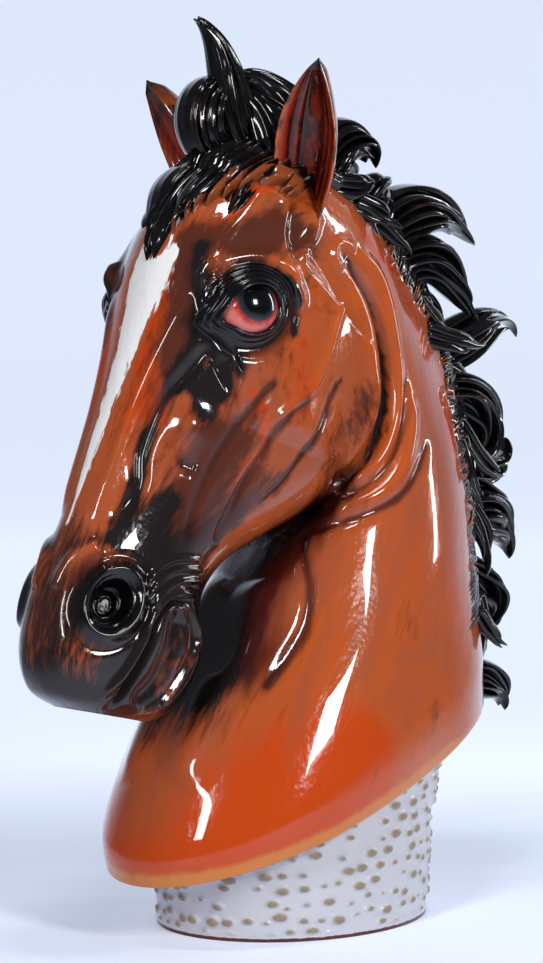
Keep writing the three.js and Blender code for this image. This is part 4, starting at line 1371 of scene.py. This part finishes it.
# Softboxes: bearing and height of the middle, distance, width, height, strength in watts
SOFTBOXES = [
    ("key", 84.0, 1.25, 2.2, 0.48, 0.55, 37.0),
    ("fill", 15.0, 1.15, 2.2, 0.26, 0.85, 21.0),
    ("side", 160.0, 1.0, 2.0, 0.12, 1.2, 9.0),
    ("top", 46.0, 2.4, 0.6, 0.35, 0.25, 9.0),
]
WORLD_COLOUR = (0.74, 0.83, 1.0, 1)
WORLD_STRENGTH = 0.10

# The round floor sweeps up into a wall all round, farther off than the camera of any view: where it
# starts to bend, the bend's radius, and the wall's height. The cloth glows by itself, most behind
# the photographed view and least in front of it, and a little less underfoot. Its colour is pale
# under the sculpture and dark farther off, where it would dull the glaze by its reflection.
SWEEP_START = 5.2
SWEEP_RADIUS = 0.8
SWEEP_HEIGHT = 6.5
SWEEP_STEPS = 9
FLAT_RINGS = (0.02, 1.0, 1.1)
FLOOR_COLUMNS = 96
FLOOR_GLOW = 0.92
FLOOR_ROUGHNESS = 0.6
GLOW_EDGE = (0.50, 0.93)
FRONT_GLOW = 0.10
CLOTH_REACH = (0.45, 1.3)
FAR_CLOTH = (0.16, 0.17, 0.19, 1)
UNLIT = (0, 0, 0, 1)
UNDERFOOT_GLOW = 0.30
UNDERFOOT_REACH = (0.30, 1.10)


def cyclorama():
    """The floor and wall as rings about the sculpture: flat, then a quarter circle up, then upright."""
    bend = np.linspace(0, math.pi / 2, SWEEP_STEPS)
    near, middle, far = FLAT_RINGS
    flat = np.concatenate([np.linspace(near, middle, 24), np.linspace(far, SWEEP_START, 10)[:-1]])
    wall = SWEEP_START + SWEEP_RADIUS
    radius = np.concatenate([flat, SWEEP_START + SWEEP_RADIUS * np.sin(bend), [wall]])
    height = np.concatenate([0 * flat, SWEEP_RADIUS * (1 - np.cos(bend)), [SWEEP_HEIGHT]])
    bearing = turns(FLOOR_COLUMNS)
    points = np.stack([radius[:, None] * np.cos(bearing), radius[:, None] * np.sin(bearing),
                       np.broadcast_to(height[:, None], (len(radius), FLOOR_COLUMNS))], axis=-1)
    turn = math.radians(CAMERA_BEARING)
    behind = (points[..., 1] * math.cos(turn) - points[..., 0] * math.sin(turn)) / radius[:, None]
    glow = FRONT_GLOW + (1 - FRONT_GLOW) * smooth(*GLOW_EDGE, behind)
    away = smooth(*UNDERFOOT_REACH, radius)[:, None]
    bright = 1 - smooth(*CLOTH_REACH, radius)[:, None] * np.ones(FLOOR_COLUMNS)
    return points / UNIT, {"glow": UNDERFOOT_GLOW + (glow - UNDERFOOT_GLOW) * away, "bright": bright}


def looking_at(eye, target):
    """The placement of a camera or light at eye that looks at target, upright."""
    turn = (Vector(target) - Vector(eye)).to_track_quat("-Z", "Y")
    return Matrix.Translation(eye) @ turn.to_matrix().to_4x4()


class HORSEHEAD_OT_stage(bpy.types.Operator):
    """Build the floor, the soft lights and the camera"""

    bl_idname = "horsehead.stage"
    bl_label = "Build stage"

    def execute(self, context):
        settings = context.scene.bust
        floor = surface("floor", [cyclorama()], caps=(True, False))
        material = bpy.data.materials.new("floor")
        material.use_nodes = True
        tree = material.node_tree
        shader = tree.nodes["Principled BSDF"]
        shader.inputs["Roughness"].default_value = FLOOR_ROUGHNESS
        shader.inputs["Emission Strength"].default_value = FLOOR_GLOW
        start, pale = Signal(tree), (*settings.floor_colour, 1)
        glow = start.attribute("glow").mix(UNLIT, pale)
        cloth = start.attribute("bright").mix(FAR_CLOTH, pale)
        tree.links.new(glow.socket, shader.inputs["Emission Color"])
        tree.links.new(cloth.socket, shader.inputs["Base Color"])
        floor.data.materials.append(material)
        context.scene.view_settings.view_transform = "Standard"
        world = bpy.data.worlds.new("studio")
        world.use_nodes = True
        background = world.node_tree.nodes["Background"]
        background.inputs["Color"].default_value = WORLD_COLOUR
        background.inputs["Strength"].default_value = WORLD_STRENGTH
        context.scene.world = world
        for name, bearing, height, distance, width, tall, strength in SOFTBOXES:
            light = bpy.data.lights.new(name, "AREA")
            light.shape = "RECTANGLE"
            light.size, light.size_y = width, tall
            light.energy = strength
            lamp = bpy.data.objects.new(name, light)
            round_ = math.radians(bearing)
            place = (distance * math.sin(round_), -distance * math.cos(round_), height)
            lamp.matrix_world = looking_at(place, (0, 0, CAMERA_AIM_HEIGHT))
            lamp.visible_camera = False
            context.scene.collection.objects.link(lamp)
        turn = math.radians(CAMERA_BEARING)
        shift = Vector((math.cos(turn), math.sin(turn), 0)) * CAMERA_SIDE
        back = Vector((math.sin(turn), -math.cos(turn), 0)) * CAMERA_DISTANCE
        camera = bpy.data.objects.new("camera", bpy.data.cameras.new("camera"))
        camera.data.lens = CAMERA_LENS
        camera.matrix_world = looking_at(back + shift + Vector((0, 0, CAMERA_HEIGHT)),
                                         shift + Vector((0, 0, CAMERA_AIM_HEIGHT)))
        context.scene.collection.objects.link(camera)
        context.scene.camera = camera
        return {"FINISHED"}


OPERATORS = (
    HORSEHEAD_OT_skin, HORSEHEAD_OT_eyes, HORSEHEAD_OT_ears, HORSEHEAD_OT_mane,
    HORSEHEAD_OT_forelock, HORSEHEAD_OT_stand, HORSEHEAD_OT_stage,
)


class HORSEHEAD_PT_panel(bpy.types.Panel):
    """Lists the steps that build the sculpture"""

    bl_idname = "HORSEHEAD_PT_panel"
    bl_label = "Horse head"
    bl_space_type = "VIEW_3D"
    bl_region_type = "UI"
    bl_category = "Horse head"

    def draw(self, context):
        for name in BustSettings.__annotations__:
            self.layout.prop(context.scene.bust, name)
        for operator in OPERATORS:
            self.layout.operator(operator.bl_idname)


CLASSES = (BustSettings, *OPERATORS, HORSEHEAD_PT_panel)


def register():
    for item in CLASSES:
        bpy.utils.register_class(item)
    bpy.types.Scene.bust = PointerProperty(type=BustSettings)


def unregister():
    del bpy.types.Scene.bust
    for item in reversed(CLASSES):
        bpy.utils.unregister_class(item)


def main():
    register()
    for name in ("skin", "eyes", "ears", "mane", "forelock", "stand", "stage"):
        getattr(bpy.ops.horsehead, name)()


if __name__ == "__main__":
    main()
